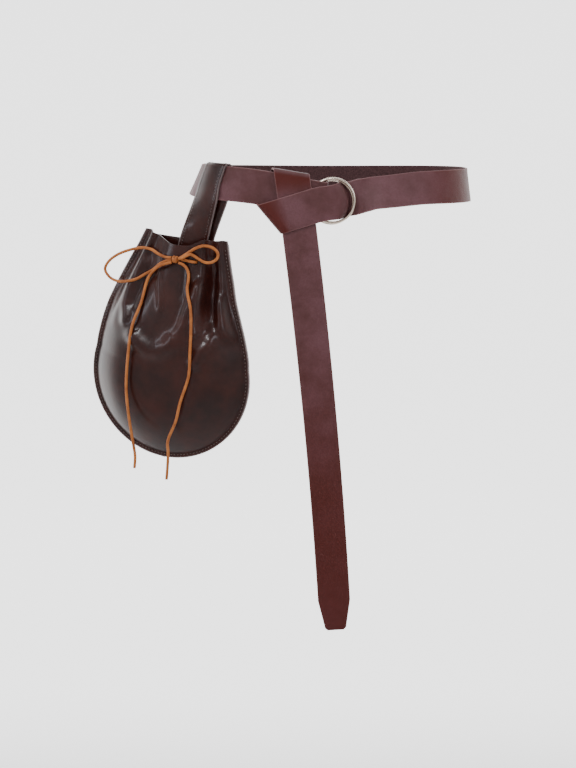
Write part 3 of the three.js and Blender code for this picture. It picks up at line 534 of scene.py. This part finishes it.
class Shader:
    """A material with one Principled shader"""

    def __init__(self, name, **plain):
        self.material = bpy.data.materials.new(name)
        self.material.use_nodes = True
        self.tree = self.material.node_tree
        self.surface = self.tree.nodes["Principled BSDF"]
        for socket, value in plain.items():
            self.surface.inputs[socket.replace("_", " ")].default_value = value
        self.coords = self.node("ShaderNodeTexCoord", {}, {})

    def node(self, kind, settings, inputs):
        """Any node, by its type, its settings and the values or links of its sockets"""
        node = self.tree.nodes.new(kind)
        for key, value in settings.items():
            setattr(node, key, value)
        for key, value in inputs.items():
            self.feed(node.inputs[key], value)
        return node

    def feed(self, socket, value):
        """Links a value to a socket, or sets the socket to a plain one"""
        if isinstance(value, Value):
            self.tree.links.new(value.socket, socket)
        else:
            socket.default_value = value

    def place(self, axis, kind="Object"):
        """One coordinate of the object's place or of its UV map"""
        node = self.node("ShaderNodeSeparateXYZ", {}, {0: Value(self, self.coords.outputs[kind])})
        return Value(self, node.outputs[axis])

    def noise(self, scale, detail=3.0, rough=0.5, stretch=(1, 1, 1)):
        """Soft noise over the object's own places"""
        vector = self.node("ShaderNodeMapping", {}, {"Vector": Value(self, self.coords.outputs["Object"]),
                                                     "Scale": stretch})
        node = self.node("ShaderNodeTexNoise", {}, {"Vector": Value(self, vector.outputs[0]), "Scale": scale,
                                                    "Detail": detail, "Roughness": rough})
        return Value(self, node.outputs[0])

    def cells(self, scale):
        """Distance to the edge of small leather cells"""
        node = self.node("ShaderNodeTexVoronoi", {"feature": "DISTANCE_TO_EDGE"},
                         {"Vector": Value(self, self.coords.outputs["Object"]), "Scale": scale})
        return Value(self, node.outputs[0])

    def blend(self, factor, a, b):
        """A mix of two colours"""
        def full(colour):
            return colour if isinstance(colour, Value) else (*colour[:3], 1)
        node = self.node("ShaderNodeMix", {"data_type": "RGBA"}, {0: factor, 6: full(a), 7: full(b)})
        return Value(self, node.outputs[2])

    def finish(self, colour, roughness, *bumps):
        """Each bump is a height, its strength and its distance in metres"""
        self.feed(self.surface.inputs["Base Color"], colour)
        self.feed(self.surface.inputs["Roughness"], roughness)
        normal = None
        for height, strength, distance in bumps:
            inputs = {"Height": height, "Strength": strength, "Distance": distance}
            if normal:
                inputs["Normal"] = normal
            normal = Value(self, self.node("ShaderNodeBump", {}, inputs).outputs[0])
        if normal:
            self.feed(self.surface.inputs["Normal"], normal)
        return self.material


def belt_leather(settings, front_fold, top_fold):
    """Mauve brown strap leather with pale cut edges, with shade painted in red at its folds in the knot and
    where it turns round the right side, and redder towards its end
    """
    s = Shader("belt leather", Specular_IOR_Level=0.26)
    blotch = s.noise(22, 4, 0.6)
    grain = s.noise(900, 2, 0.6)
    cells = s.cells(1100).over(0, 0.25)
    side = s.place(1, "UV")
    edge = side.maths("ABSOLUTE", side - 0.5).over(0.468, 0.492)
    low = 1 - s.place(2).over(-0.42, -0.1)
    # Painted shade: redder where the belt turns away round the right side of the waist
    right = s.place(0).over(0.08, 0.15)
    colour = s.blend(blotch.over(0.3, 0.7), settings.belt_dark, settings.belt_light)
    colour = s.blend(s.noise(420, 3, 0.7).over(0.35, 0.75) * 0.35, colour, settings.belt_dark)
    along = s.place(0, "UV")
    # Painted shade: redder where the strap bends away at the knot's front fold and at its top crease
    fold_shade = along.over(front_fold - 0.017, front_fold - 0.001)
    fold_shade = fold_shade - along.over(front_fold + 0.02, front_fold + 0.03)
    fold_shade = fold_shade + along.over(top_fold, top_fold + 0.004) - along.over(top_fold + 0.006, top_fold + 0.03)
    colour = s.blend(fold_shade * 0.9, colour, settings.belt_red_and_shade)
    colour = s.blend(low * 0.85, colour, settings.belt_red_and_shade)
    colour = s.blend(right * 0.8, colour, settings.belt_red_and_shade)
    colour = s.blend(edge * 0.45, colour, settings.belt_edge)
    roughness = 0.36 + blotch * 0.2 + grain * 0.06
    return s.finish(colour, roughness, (s.noise(60, 4, 0.6), 0.25, 0.0012),
                    (s.noise(330, 4, 0.7), 0.35, 0.0005), (grain + cells * 0.5, 0.35, 0.00025))


def belt_inside():
    """The rougher, darker flesh side of the belt"""
    s = Shader("belt inside", Specular_IOR_Level=0.2)
    fibre = s.noise(500, 4, 0.7)
    colour = s.blend(fibre.over(0.3, 0.7), srgb(60, 38, 38), srgb(84, 57, 58))
    return s.finish(colour, 0.7 + fibre * 0.15, (fibre, 0.5, 0.0004))


def pouch_leather(settings):
    """Thin glossy dark leather, creased, with a highlight painted pale along its cut edges at the seam"""
    s = Shader("pouch leather", Specular_IOR_Level=0.2, Coat_Weight=0.36, Coat_Roughness=0.17)
    blotch = s.noise(30, 4, 0.6)
    grain = s.noise(1100, 2, 0.6)
    # Painted highlight: a pale rim along the cut edges, where they catch light
    edge = 1 - s.place(0, "UV").over(0.009, 0.017)
    colour = s.blend(blotch.over(0.3, 0.75), settings.pouch_dark, settings.pouch_light)
    colour = s.blend(edge * 0.7, colour, settings.pouch_edge_highlight)
    roughness = 0.26 + blotch * 0.14 + edge * 0.2
    creases = s.noise(55, 5, 0.62, (1, 1, 0.5))
    return s.finish(colour, roughness, (creases, 0.3, 0.0009), (grain, 0.16, 0.0002))


def cord_leather(settings):
    """Tan leather lace"""
    s = Shader("cord leather", Specular_IOR_Level=0.3)
    blotch = s.noise(60, 4, 0.6)
    colour = s.blend(blotch.over(0.2, 0.75), settings.cord_dark, settings.cord_light)
    return s.finish(colour, 0.5 + blotch * 0.25, (s.noise(900, 3, 0.6), 0.5, 0.0004))


def thread(settings):
    """Twisted greyish thread of the seams"""
    s = Shader("seam thread", Specular_IOR_Level=0.3)
    twist = s.noise(1500, 2, 0.5)
    colour = s.blend(twist, settings.thread, srgb(66, 52, 50))
    return s.finish(colour, 0.55 + twist * 0.1, (twist, 0.3, 0.0002))


def pale_brass(settings):
    """Polished pale brass, a little clouded"""
    s = Shader("pale brass", Metallic=1.0)
    cloud = s.noise(90, 4, 0.6)
    colour = s.blend(cloud.over(0.3, 0.7), settings.brass, srgb(214, 197, 180))
    return s.finish(colour, 0.14 + cloud * 0.1, (s.noise(500, 2, 0.5), 0.06, 0.0002))


def material_named(name, maker, settings):
    """A material that several pieces share, made once"""
    return bpy.data.materials.get(name) or maker(settings)


def new_object(name, data, slot, material, *nodes):
    """A finished piece: on the one body, with its material, in place of its solids"""
    obj = bpy.data.objects.new(name, data)
    bpy.context.scene.collection.objects.link(obj)
    data.materials.append(material)
    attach(obj, "root")
    if nodes:
        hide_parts(*nodes)
    return obj


def mesh_of(bm, name):
    """The finished, smooth shaded mesh"""
    mesh = bpy.data.meshes.new(name)
    for face in bm.faces:
        face.smooth = True
    bm.to_mesh(mesh)
    bm.free()
    return mesh


def sheet_mesh(name, grid, uvs, keep=None):
    """A grid of faces moved to the given places, in millimetres, with its own UV map"""
    rows, columns = len(grid), len(grid[0])
    bm = bmesh.new()
    uv_layer = bm.loops.layers.uv.new("UVMap")
    bmesh.ops.create_grid(bm, x_segments=columns - 1, y_segments=rows - 1, size=1)
    spot = {}
    for vert in bm.verts:
        spot[vert] = (round((vert.co.y + 1) / 2 * (rows - 1)), round((vert.co.x + 1) / 2 * (columns - 1)))
    for face in bm.faces:
        for loop in face.loops:
            i, j = spot[loop.vert]
            loop[uv_layer].uv = uvs[i][j]
    for vert in bm.verts:
        i, j = spot[vert]
        vert.co = grid[i][j] * MM
    if keep:
        cut = [face for face in bm.faces if not keep(face.calc_center_median())]
        bmesh.ops.delete(bm, geom=cut, context="FACES")
    bmesh.ops.remove_doubles(bm, verts=bm.verts, dist=0.00003)
    return mesh_of(bm, name)


def round_ring(mean, wire, sides, steps):
    """A closed ring of round wire about the Y axis, its mean and wire radii in millimetres"""
    bm = bmesh.new()
    bmesh.ops.create_circle(bm, segments=sides, radius=wire * MM,
                            matrix=Matrix.Translation((mean * MM, 0, 0)))
    bmesh.ops.spin(bm, geom=bm.verts[:] + bm.edges[:], axis=(0, 1, 0), cent=(0, 0, 0), angle=math.tau,
                   steps=steps, use_merge=True)
    bmesh.ops.recalc_face_normals(bm, faces=bm.faces)
    return bm


def add_wall(obj, thickness, edge):
    """Even thickness about the sheet, and softly rounded edges, in millimetres"""
    wall = obj.modifiers.new("wall", "SOLIDIFY")
    wall.thickness = thickness * MM
    wall.offset = 0
    wall.use_even_offset = False
    rim = obj.modifiers.new("rounded edge", "BEVEL")
    rim.width = edge * MM
    rim.segments = 2
    rim.limit_method = "ANGLE"
    rim.angle_limit = math.radians(50)


def catmull(points, parts):
    """A smooth line through the points"""
    line = []
    ends = [points[0] * 2 - points[1]] + list(points) + [points[-1] * 2 - points[-2]]
    for i in range(1, len(ends) - 2):
        a, b, c, d = ends[i - 1:i + 3]
        for k in range(parts):
            t = k / parts
            line.append(0.5 * (2 * b + (c - a) * t + (2 * a - 5 * b + 4 * c - d) * t ** 2
                               + (3 * b - a - 3 * c + d) * t ** 3))
    return line + [ends[-2]]


def add_stitches(bm, line, facing, pitch, length, width):
    """Low rounded stitches at even steps along a line, each lying on the surface that faces it"""
    gone, due = 0, pitch / 2
    for (a, b), normal in zip(zip(line, line[1:]), facing):
        step = (b - a).length
        while due <= gone + step:
            at = a.lerp(b, (due - gone) / step)
            ahead = (b - a).normalized()
            side = normal.cross(ahead).normalized()
            turn = Matrix((ahead, side, normal)).transposed().to_4x4()
            scale = Matrix.Diagonal((length / 2 * MM, width / 2 * MM, width / 2.4 * MM, 1))
            bmesh.ops.create_icosphere(bm, subdivisions=1, radius=1,
                                       matrix=Matrix.Translation(at * MM) @ turn @ scale)
            due += pitch
        gone += step


def colour_setting(name, description, colour):
    """A setting that holds a colour, with the colour it starts at, 0 to 255"""
    return bpy.props.FloatVectorProperty(name=name, description=description, subtype="COLOR", size=3,
                                         default=srgb(*colour))


class PouchSettings(bpy.types.PropertyGroup):
    """Sizes and colours that a user would change"""

    belt_light: colour_setting("Belt", "Lighter colour of the belt", (106, 68, 73))
    belt_dark: colour_setting("Belt shade", "Darker colour of the belt", (82, 47, 46))
    # This red also paints shade at the knot's folds and where the belt turns round the right side
    belt_red_and_shade: colour_setting("Belt end", "Redder colour of the hanging end", (80, 22, 13))
    belt_edge: colour_setting("Belt edge", "Cut edge of the belt", (150, 108, 106))
    pouch_light: colour_setting("Pouch", "Lighter colour of the pouch", (58, 21, 14))
    pouch_dark: colour_setting("Pouch shade", "Darker colour of the pouch", (38, 12, 8))
    # Painted highlight along the pouch's cut edges at its seam
    pouch_edge_highlight: colour_setting("Pouch edge", "Cut edge of the pouch", (120, 104, 102))
    cord_light: colour_setting("Cord", "Lighter colour of the cord", (198, 120, 62))
    cord_dark: colour_setting("Cord shade", "Darker colour of the cord", (146, 78, 36))
    thread: colour_setting("Thread", "Colour of the stitches", (122, 104, 98))
    brass: colour_setting("Rings", "Colour of the rings", (244, 228, 210))
    stitch_pitch: bpy.props.FloatProperty(name="Stitch step", description="Distance from stitch to stitch",
                                          unit="LENGTH", default=0.0042, min=0.002, max=0.01)
    cord_width: bpy.props.FloatProperty(name="Cord width", description="Diameter of the drawstring",
                                        unit="LENGTH", default=0.0034, min=0.002, max=0.006)


class POUCH_OT_stage(bpy.types.Operator):
    """Set up the camera, the pale floor and the soft lights"""

    bl_idname = "belt_pouch.stage"
    bl_label = "Stage"

    # Name, place, the place it looks at, size, watts, colour
    LAMPS = [
        ("key light", (-0.55, -1.25, 1.25), (-0.1, -0.1, -0.15), (1.0, 0.16), 14, (0.94, 0.97, 1)),
        ("left light", (-1.5, -0.7, 0.35), (-0.19, -0.1, -0.15), (0.14, 1.2), 4, (0.82, 0.89, 1)),
        ("right light", (0.95, -1.15, 0.55), (-0.15, -0.1, -0.1), (0.14, 1.0), 5, (0.84, 0.9, 1)),
        ("top light", (0.1, 0.25, 1.3), (-0.1, -0.05, -0.1), (1.2, 0.5), 6, (0.93, 0.96, 1)),
    ]

    def execute(self, context):
        scene = context.scene
        camera = bpy.data.objects.new("camera", bpy.data.cameras.new("camera"))
        camera.location = (-0.0524, -1.4, 0.065)
        camera.rotation_euler = (math.radians(77.6), 0, 0)
        camera.data.lens = 54.2
        camera.data.sensor_width = 36
        camera.data.clip_end = 30
        scene.collection.objects.link(camera)
        scene.camera = camera
        self.floor(scene)
        for lamp in self.LAMPS:
            self.lamp(scene, *lamp)
        world = bpy.data.worlds.new("soft sky")
        world.use_nodes = True
        world.node_tree.nodes["Background"].inputs[0].default_value = (1, 1, 1, 1)
        world.node_tree.nodes["Background"].inputs[1].default_value = 0.3
        scene.world = world
        return {"FINISHED"}

    def floor(self, scene):
        """A round floor that curves up all round and glows as painted light, brighter behind the object"""
        bm = bmesh.new()
        rim = [(0, -1.3), (2.4, -1.3), (2.9, -1.2), (3.3, -0.9), (3.55, -0.4), (3.65, 0.4), (3.7, 3.2)]
        verts = [bm.verts.new((x, 0, z)) for x, z in rim]
        edges = [bm.edges.new(pair) for pair in zip(verts, verts[1:])]
        bmesh.ops.spin(bm, geom=verts + edges, axis=(0, 0, 1), cent=(0, 0, 0), angle=math.tau, steps=72,
                       use_merge=True)
        bmesh.ops.remove_doubles(bm, verts=bm.verts, dist=0.0001)
        obj = bpy.data.objects.new("pale_floor", mesh_of(bm, "pale_floor"))
        scene.collection.objects.link(obj)
        s = Shader("glowing pale paper", Base_Color=(0.5, 0.5, 0.5, 1), Roughness=1.0, Specular_IOR_Level=0.0,
                   Emission_Strength=1.0)
        # Painted light: the floor glows faintly in front and strongly behind the object, and lights it
        back = s.place(1).over(0.1, 1.3)
        s.feed(s.surface.inputs["Emission Color"], s.blend(back, (0.13, 0.13, 0.13), (2.1, 2.1, 2.1)))
        obj.data.materials.append(s.material)

    def lamp(self, scene, name, at, towards, size, watts, colour):
        """An area light that looks at a place"""
        data = bpy.data.lights.new(name, "AREA")
        data.shape = "RECTANGLE"
        data.size, data.size_y = size
        data.energy = watts
        data.color = colour
        lamp = bpy.data.objects.new(name, data)
        lamp.location = at
        lamp.rotation_euler = (Vector(towards) - Vector(at)).to_track_quat("-Z", "Y").to_euler()
        scene.collection.objects.link(lamp)


class POUCH_OT_cords(bpy.types.Operator):
    """Lay the drawstring's stretches, its bow and its knot"""

    bl_idname = "belt_pouch.cords"
    bl_label = "Drawstring"

    # Each stretch in the pouch's frame: its far end, then points as across, up and out
    ROUTES = {
        "bow_loop_left": ("object", [
            (-2.9, 140.2, 22.4), (-11.8, 139.8, 20.9), (-21.9, 141.8, 18), (-31.9, 145.2, 15.6),
            (-44.5, 145.1, 13.4), (-58.1, 141, 11.4), (-73, 134.1, 10), (-84.4, 125.6, 9.4),
            (-90.4, 116.5, 9.6), (-89.5, 110, 10.4), (-81.3, 104, 12.6), (-69.6, 102.7, 17),
            (-56.7, 105, 19.7), (-44.9, 109.6, 19.9), (-35.6, 116.3, 18.9), (-25.9, 123.1, 18.6),
            (-17.5, 131.2, 19.3), (-8.6, 136.2, 20.5), (-3, 137.6, 21.3)]),
        "bow_loop_right": ("object", [
            (7.2, 141.3, 23.6), (11.6, 144.4, 23.7), (18.7, 150.5, 22), (24.6, 155, 20.4),
            (30.6, 158, 18.6), (36.8, 158.7, 17), (43.3, 157.2, 15.4), (48.1, 153.3, 14.2),
            (49.2, 148.2, 13.8), (46.9, 144, 14.2), (42.1, 140.8, 15.4), (35.9, 140.1, 17.2),
            (29.6, 142.7, 19.6), (24.4, 146, 22), (20.2, 147.6, 24.6), (15.6, 145.4, 26.6),
            (10.6, 142.2, 26.2), (7, 140.9, 25.4)]),
        "drawstring_tail_left": ("bare", [
            (-1.8, 135.6, 24.2), (-9.6, 132.7, 24.9), (-17.1, 128.6, 24.4), (-23.9, 122.2, 23.2),
            (-29.2, 114.6, 22.2), (-31.5, 105.6, 23.4), (-32, 95.2, 26.8), (-32.8, 83.6, 30.8),
            (-36.1, 64.4, 39.2), (-37, 52.1, 42.8), (-37.6, 38, 43.6), (-38.3, 9, 43.4),
            (-37.4, -16.9, 42.8), (-32.5, -45.3, 42.4), (-26.1, -70.7, 42.4), (-20.8, -90.5, 42.4),
            (-19.7, -99.3, 42.4), (-19.7, -109, 42.4)]),
        "drawstring_tail_right": ("bare", [
            (6.6, 136.2, 23.6), (11.7, 134.8, 23.4), (16.5, 131.1, 22.9), (19.5, 125.2, 23.2),
            (20.7, 117.7, 25), (21.1, 110.1, 27.4), (24.1, 101.9, 30.8), (28.4, 93.9, 34.4),
            (31.9, 84.3, 37.2), (35.2, 65.4, 40.6), (36.8, 40.6, 41.6), (38.2, 16.9, 42.2),
            (36.3, 3.7, 42.2), (30.3, -20.4, 42.2), (27, -42.8, 42.2), (20.5, -63, 42.2),
            (19.3, -72.1, 42.2), (21, -82.1, 42.2), (21.7, -99.8, 42.2), (21.8, -114.6, 42.2)]),
        "drawstring_neck": ("object", [
            (8.2, 139.6, 20.6), (13, 139.6, 20.5), (18.5, 139.2, 20.3), (22.8, 138.9, 19.4),
            (24.6, 138.8, 17), (24.4, 138.8, 14.4), (21.5, 138.9, 12.2), (15, 139, 11.4), (8, 139.1, 11.4),
            (3.6, 139.2, 12.4), (2.1, 139.2, 15), (2.1, 139.2, 18.3)]),
    }

    def execute(self, context):
        settings = context.scene.belt_pouch
        material = material_named("cord leather", cord_leather, settings)
        for name, (far_end, points) in self.ROUTES.items():
            line = [p * MM for p in catmull([on_pouch(*p) for p in points], 6)]
            curve = bpy.data.curves.new(f"lace_{name}", "CURVE")
            curve.dimensions = "3D"
            curve.bevel_depth = settings.cord_width / 2
            curve.bevel_resolution = 4
            curve.use_fill_caps = True
            spline = curve.splines.new("POLY")
            spline.points.add(len(line) - 1)
            for point, at in zip(spline.points, line):
                point.co = (*at, 1)
            spline.use_smooth = True
            piece = new_object(f"lace_{name}", curve, "cord_leather", material, name)
            length = sum((b - a).length for a, b in zip(line, line[1:]))
        self.knot(material)
        return {"FINISHED"}

    def knot(self, material):
        """A small body with turns of the cord drawn tight round it"""
        bm = bmesh.new()
        middle = on_pouch(KNOT["across"], KNOT["up"], KNOT["out"])
        frame_turn = Matrix((ACROSS, UP, OUT)).transposed().to_4x4()
        bmesh.ops.create_icosphere(bm, subdivisions=3, radius=1, matrix=Matrix.Translation(middle * MM)
                                   @ frame_turn @ Matrix.Diagonal((0.0036, 0.0034, 0.0032, 1)))
        # Turns of the cord: across and up from the knot's middle, tilt in degrees
        for side, up, tilt in ((-1.5, 0, 8), (1.4, 0, -6), (0, 0.4, 62)):
            ring = round_ring(2.6, 1.6, 12, 28)
            place = (Matrix.Translation(middle * MM) @ frame_turn
                     @ Matrix.Translation((side * MM, up * MM, 0.0004))
                     @ Matrix.Rotation(math.radians(tilt + 90), 4, "Z"))
            bmesh.ops.transform(ring, matrix=place, verts=ring.verts)
            turned = bpy.data.meshes.new("turn")
            ring.to_mesh(turned)
            ring.free()
            bm.from_mesh(turned)
            bpy.data.meshes.remove(turned)
        new_object("bow_knot_turns", mesh_of(bm, "bow_knot_turns"), "cord_leather", material, "bow_knot")


class POUCH_OT_belt(bpy.types.Operator):
    """Lay the belt round the waist, through the rings and down"""

    bl_idname = "belt_pouch.belt"
    bl_label = "Belt"

    def execute(self, context):
        settings = context.scene.belt_pouch
        grid, folds = belt_grid()
        uvs = []
        along = 0
        middle = len(STRAP_ACROSS) // 2
        for i, row in enumerate(grid):
            if i:
                along += (row[middle] - grid[i - 1][middle]).length
            uvs.append([(along * MM, (k + 1) / 2) for k in STRAP_ACROSS])
        mesh = sheet_mesh("belt", grid, uvs)
        front_fold, top_fold = (uvs[i][0][0] for i in folds)
        belt = new_object("belt", mesh, "belt_leather", belt_leather(settings, front_fold, top_fold),
                          "belt_strap")
        mesh.materials.append(belt_inside())
        add_wall(belt, STRAP_WALL, 0.55)
        belt.modifiers["wall"].material_offset = 1
        return {"FINISHED"}


class POUCH_OT_rings(bpy.types.Operator):
    """Bend the two round rings"""

    bl_idname = "belt_pouch.rings"
    bl_label = "Rings"

    def execute(self, context):
        material = material_named("pale brass", pale_brass, context.scene.belt_pouch)
        at = wrap(RING_CENTRE)
        for node, layer in (("ring_front", 0.5), ("ring_back", -0.5)):
            bm = round_ring(RING_MID, RING_WIRE / 2, 20, 120)
            place = Vector((at.x + layer * RING_SLIP, at.y - layer * RING_PITCH, at.z + layer * RING_SLIP))
            bmesh.ops.transform(bm, verts=bm.verts, matrix=Matrix.Translation(place * MM)
                                @ Matrix.Rotation(-math.radians(RING_TURN), 4, "Z"))
            new_object(f"{node}_wire", mesh_of(bm, node), "pale_brass", material, node)
        return {"FINISHED"}


class POUCH_OT_panels(bpy.types.Operator):
    """Shape the pouch's front and back panels and sew them together"""

    bl_idname = "belt_pouch.panels"
    bl_label = "Pouch"

    def execute(self, context):
        settings = context.scene.belt_pouch
        leather = material_named("pouch leather", pouch_leather, settings)
        centres = [on_pouch(across, up, 0) for across, up in HOLES]

        def off_holes(at):
            """True where no hole for the drawstring is cut"""
            for centre in centres:
                apart = at / MM - centre
                if math.hypot(apart.dot(ACROSS), apart.dot(UP)) < HOLE / 2:
                    return False
            return True

        front = panel_places(lambda s: read_table(MOUTH_ROWS, 2, 0.06 + 0.88 * s), 130,
                             110, 72)
        self.panel("pouch_front_panel", front, front_depth, leather, "pouch_front", off_holes)
        back = panel_places(lambda s: BACK_TOP, 50, 40, 30)
        self.panel("pouch_back_panel", back, back_depth, leather, "pouch_back", None)
        self.seam(settings)
        return {"FINISHED"}

    def panel(self, name, places, depth_at, leather, node, keep):
        """One panel; its UV map holds the distance from the seam and the height, both times 0.01"""
        grid = [[on_pouch(a, u, depth_at(a, u)) for a, u in row] for row in places]
        uvs = [[(seam_distance(a, u) * 0.01, u * 0.01) for a, u in row] for row in places]
        obj = new_object(name, sheet_mesh(name, grid, uvs, keep), "pouch_leather", leather, node)
        add_wall(obj, POUCH_WALL, 0.35)

    def seam(self, settings):
        """Stitches through the seam margin of both panels"""
        places = []
        for i in range(61):
            up = mix(156, 20, i / 60)
            places.append((outline_at(up)[0] + SEAM_INSET * 1.05, up))
        start = math.asin((OUTLINE_ROWS[0][0] - POUCH_MIDDLE[1]) / POUCH_RADIUS)
        for i in range(1, 160):
            turn = mix(math.pi - start, math.tau + start, i / 160)
            places.append((POUCH_MIDDLE[0] + (POUCH_RADIUS - SEAM_INSET) * math.cos(turn),
                           POUCH_MIDDLE[1] + (POUCH_RADIUS - SEAM_INSET) * math.sin(turn)))
        for i in range(61):
            up = mix(20, 156, i / 60)
            places.append((outline_at(up)[1] - SEAM_INSET * 1.05, up))
        bm = bmesh.new()
        for side, out in ((1, PANEL_REST + POUCH_WALL / 2 + 0.15), (-1, -PANEL_REST - POUCH_WALL / 2 - 0.15)):
            line = [on_pouch(a, u, out) for a, u in places]
            add_stitches(bm, line, [OUT * side] * len(line), settings.stitch_pitch / MM, 2.7, 0.95)
        new_object("seam_stitches", mesh_of(bm, "seam_stitches"), "cord_leather",
                   material_named("seam thread", thread, settings))


class POUCH_OT_loop(bpy.types.Operator):
    """Hang the pouch by its strap over the belt"""

    bl_idname = "belt_pouch.loop"
    bl_label = "Belt loop"

    # Places of the strap's rows: across or along, up, slope
    FRONT = [(10.5, 134, -6), (13.4, 161, -5)]
    ON_FRONT = [(-148, -12, -7), (-146.6, 4, -5), (-143, 17, -2)]
    ON_REAR = [(-134.8, 17, 0), (-136, 4, 0), (-138, -12, 2)]
    REAR = [(20, 166, 0), (19.5, 150, 0), (18.5, 134, 0)]
    WIDTH = 34
    WALL = 1.8

    def rows(self):
        """The strap's rows, from inside the mouth, over the belt and down behind the pouch"""
        steps = [k / 4 - 1 for k in range(9)]
        away = (STRAP_WALL + self.WALL) / 2 + GAP + 0.55

        def level(along, up):
            share = -along / WAIST_LENGTH
            lean = math.tan(math.radians(read_table(WAIST_ROWS, 2, share)))
            return -(up - STRAP_WIDTH * read_table(WAIST_ROWS, 1, share)) * lean

        def belt_top(along):
            share = -along / WAIST_LENGTH
            tilt = math.radians(read_table(WAIST_ROWS, 2, share))
            return STRAP_WIDTH * read_table(WAIST_ROWS, 1, share) + HALF_STRAP * math.cos(tilt)

        def belt_row(row, out):
            along, up, slope = row[0], row[1], math.radians(row[2])
            flat = []
            for k in steps:
                x = along + k * self.WIDTH / 2 * math.cos(slope)
                y = up + k * self.WIDTH / 2 * math.sin(slope)
                flat.append(wrap(Vector((x, y, level(x, y) + out))))
            return flat

        def pouch_row(row, out):
            across, up, slope = row[0], row[1], math.radians(row[2])
            return [on_pouch(across + k * self.WIDTH / 2 * math.cos(slope),
                             up + k * self.WIDTH / 2 * math.sin(slope), out) for k in steps]

        step_out = (POUCH_WALL + self.WALL) / 2 + GAP
        rows = [pouch_row(row, -PANEL_REST + step_out) for row in self.FRONT]
        rows += [belt_row(row, away) for row in self.ON_FRONT]
        for i in range(9):
            turn = math.pi * i / 8
            row = []
            for k in steps:
                along = mix(-140, -134.6, i / 8) + k * self.WIDTH / 2
                up = belt_top(along) - 0.8 + away * math.sin(turn)
                row.append(wrap(Vector((along, up, level(along, up) + away * math.cos(turn)))))
            rows.append(row)
        rows += [belt_row(row, -away) for row in self.ON_REAR]
        rows += [pouch_row(row, -PANEL_REST - step_out) for row in self.REAR]
        return rows

    def execute(self, context):
        settings = context.scene.belt_pouch
        rows = self.rows()
        columns = [catmull([row[j] for row in rows], 5) for j in range(len(rows[0]))]
        grid = [list(row) for row in zip(*columns)]
        share = [min(j, len(columns) - 1 - j) / (len(columns) - 1) for j in range(len(columns))]
        uvs = [[(s * self.WIDTH * 0.01, i * 0.01) for s in share] for i in range(len(grid))]
        loop = new_object("loop_strap", sheet_mesh("loop_strap", grid, uvs), "pouch_leather",
                          material_named("pouch leather", pouch_leather, settings), "belt_loop")
        add_wall(loop, self.WALL, 0.4)
        bm = bmesh.new()
        for from_edge in (0.12, 0.88):
            j = from_edge * (len(columns) - 1)
            low = int(j)
            line = [row[low].lerp(row[low + 1], j - low) for row in grid]
            facing = []
            for i in range(len(grid) - 1):
                normal = (grid[i][-1] - grid[i][0]).cross(grid[i + 1][4] - grid[i][4]).normalized()
                facing.append(normal)
            if facing[0].dot(OUT) < 0:
                facing = [-n for n in facing]
            line = [p + n * (self.WALL / 2 + 0.15) for p, n in zip(line, facing + facing[-1:])]
            add_stitches(bm, line, facing, 3.6, 2.5, 0.9)
        new_object("loop_stitches", mesh_of(bm, "loop_stitches"), "cord_leather",
                   material_named("seam thread", thread, settings))
        return {"FINISHED"}


class POUCH_PT_panel(bpy.types.Panel):
    """Lists the settings and the steps"""

    bl_idname = "POUCH_PT_panel"
    bl_label = "Belt Pouch"
    bl_space_type = "VIEW_3D"
    bl_region_type = "UI"
    bl_category = "Belt Pouch"

    def draw(self, context):
        for name in PouchSettings.__annotations__:
            self.layout.prop(context.scene.belt_pouch, name)
        for operator in OPERATORS:
            self.layout.operator(operator.bl_idname)


OPERATORS = (POUCH_OT_stage, POUCH_OT_cords, POUCH_OT_belt, POUCH_OT_rings, POUCH_OT_panels, POUCH_OT_loop)


def register():
    bpy.utils.register_class(PouchSettings)
    for operator in OPERATORS:
        bpy.utils.register_class(operator)
    bpy.utils.register_class(POUCH_PT_panel)
    bpy.types.Scene.belt_pouch = bpy.props.PointerProperty(type=PouchSettings)


def unregister():
    del bpy.types.Scene.belt_pouch
    bpy.utils.unregister_class(POUCH_PT_panel)
    for operator in reversed(OPERATORS):
        bpy.utils.unregister_class(operator)
    bpy.utils.unregister_class(PouchSettings)


def main():
    register()
    bpy.ops.belt_pouch.stage()
    bpy.ops.belt_pouch.cords()
    bpy.ops.belt_pouch.belt()
    bpy.ops.belt_pouch.rings()
    bpy.ops.belt_pouch.panels()
    bpy.ops.belt_pouch.loop()


if __name__ == "__main__":
    main()
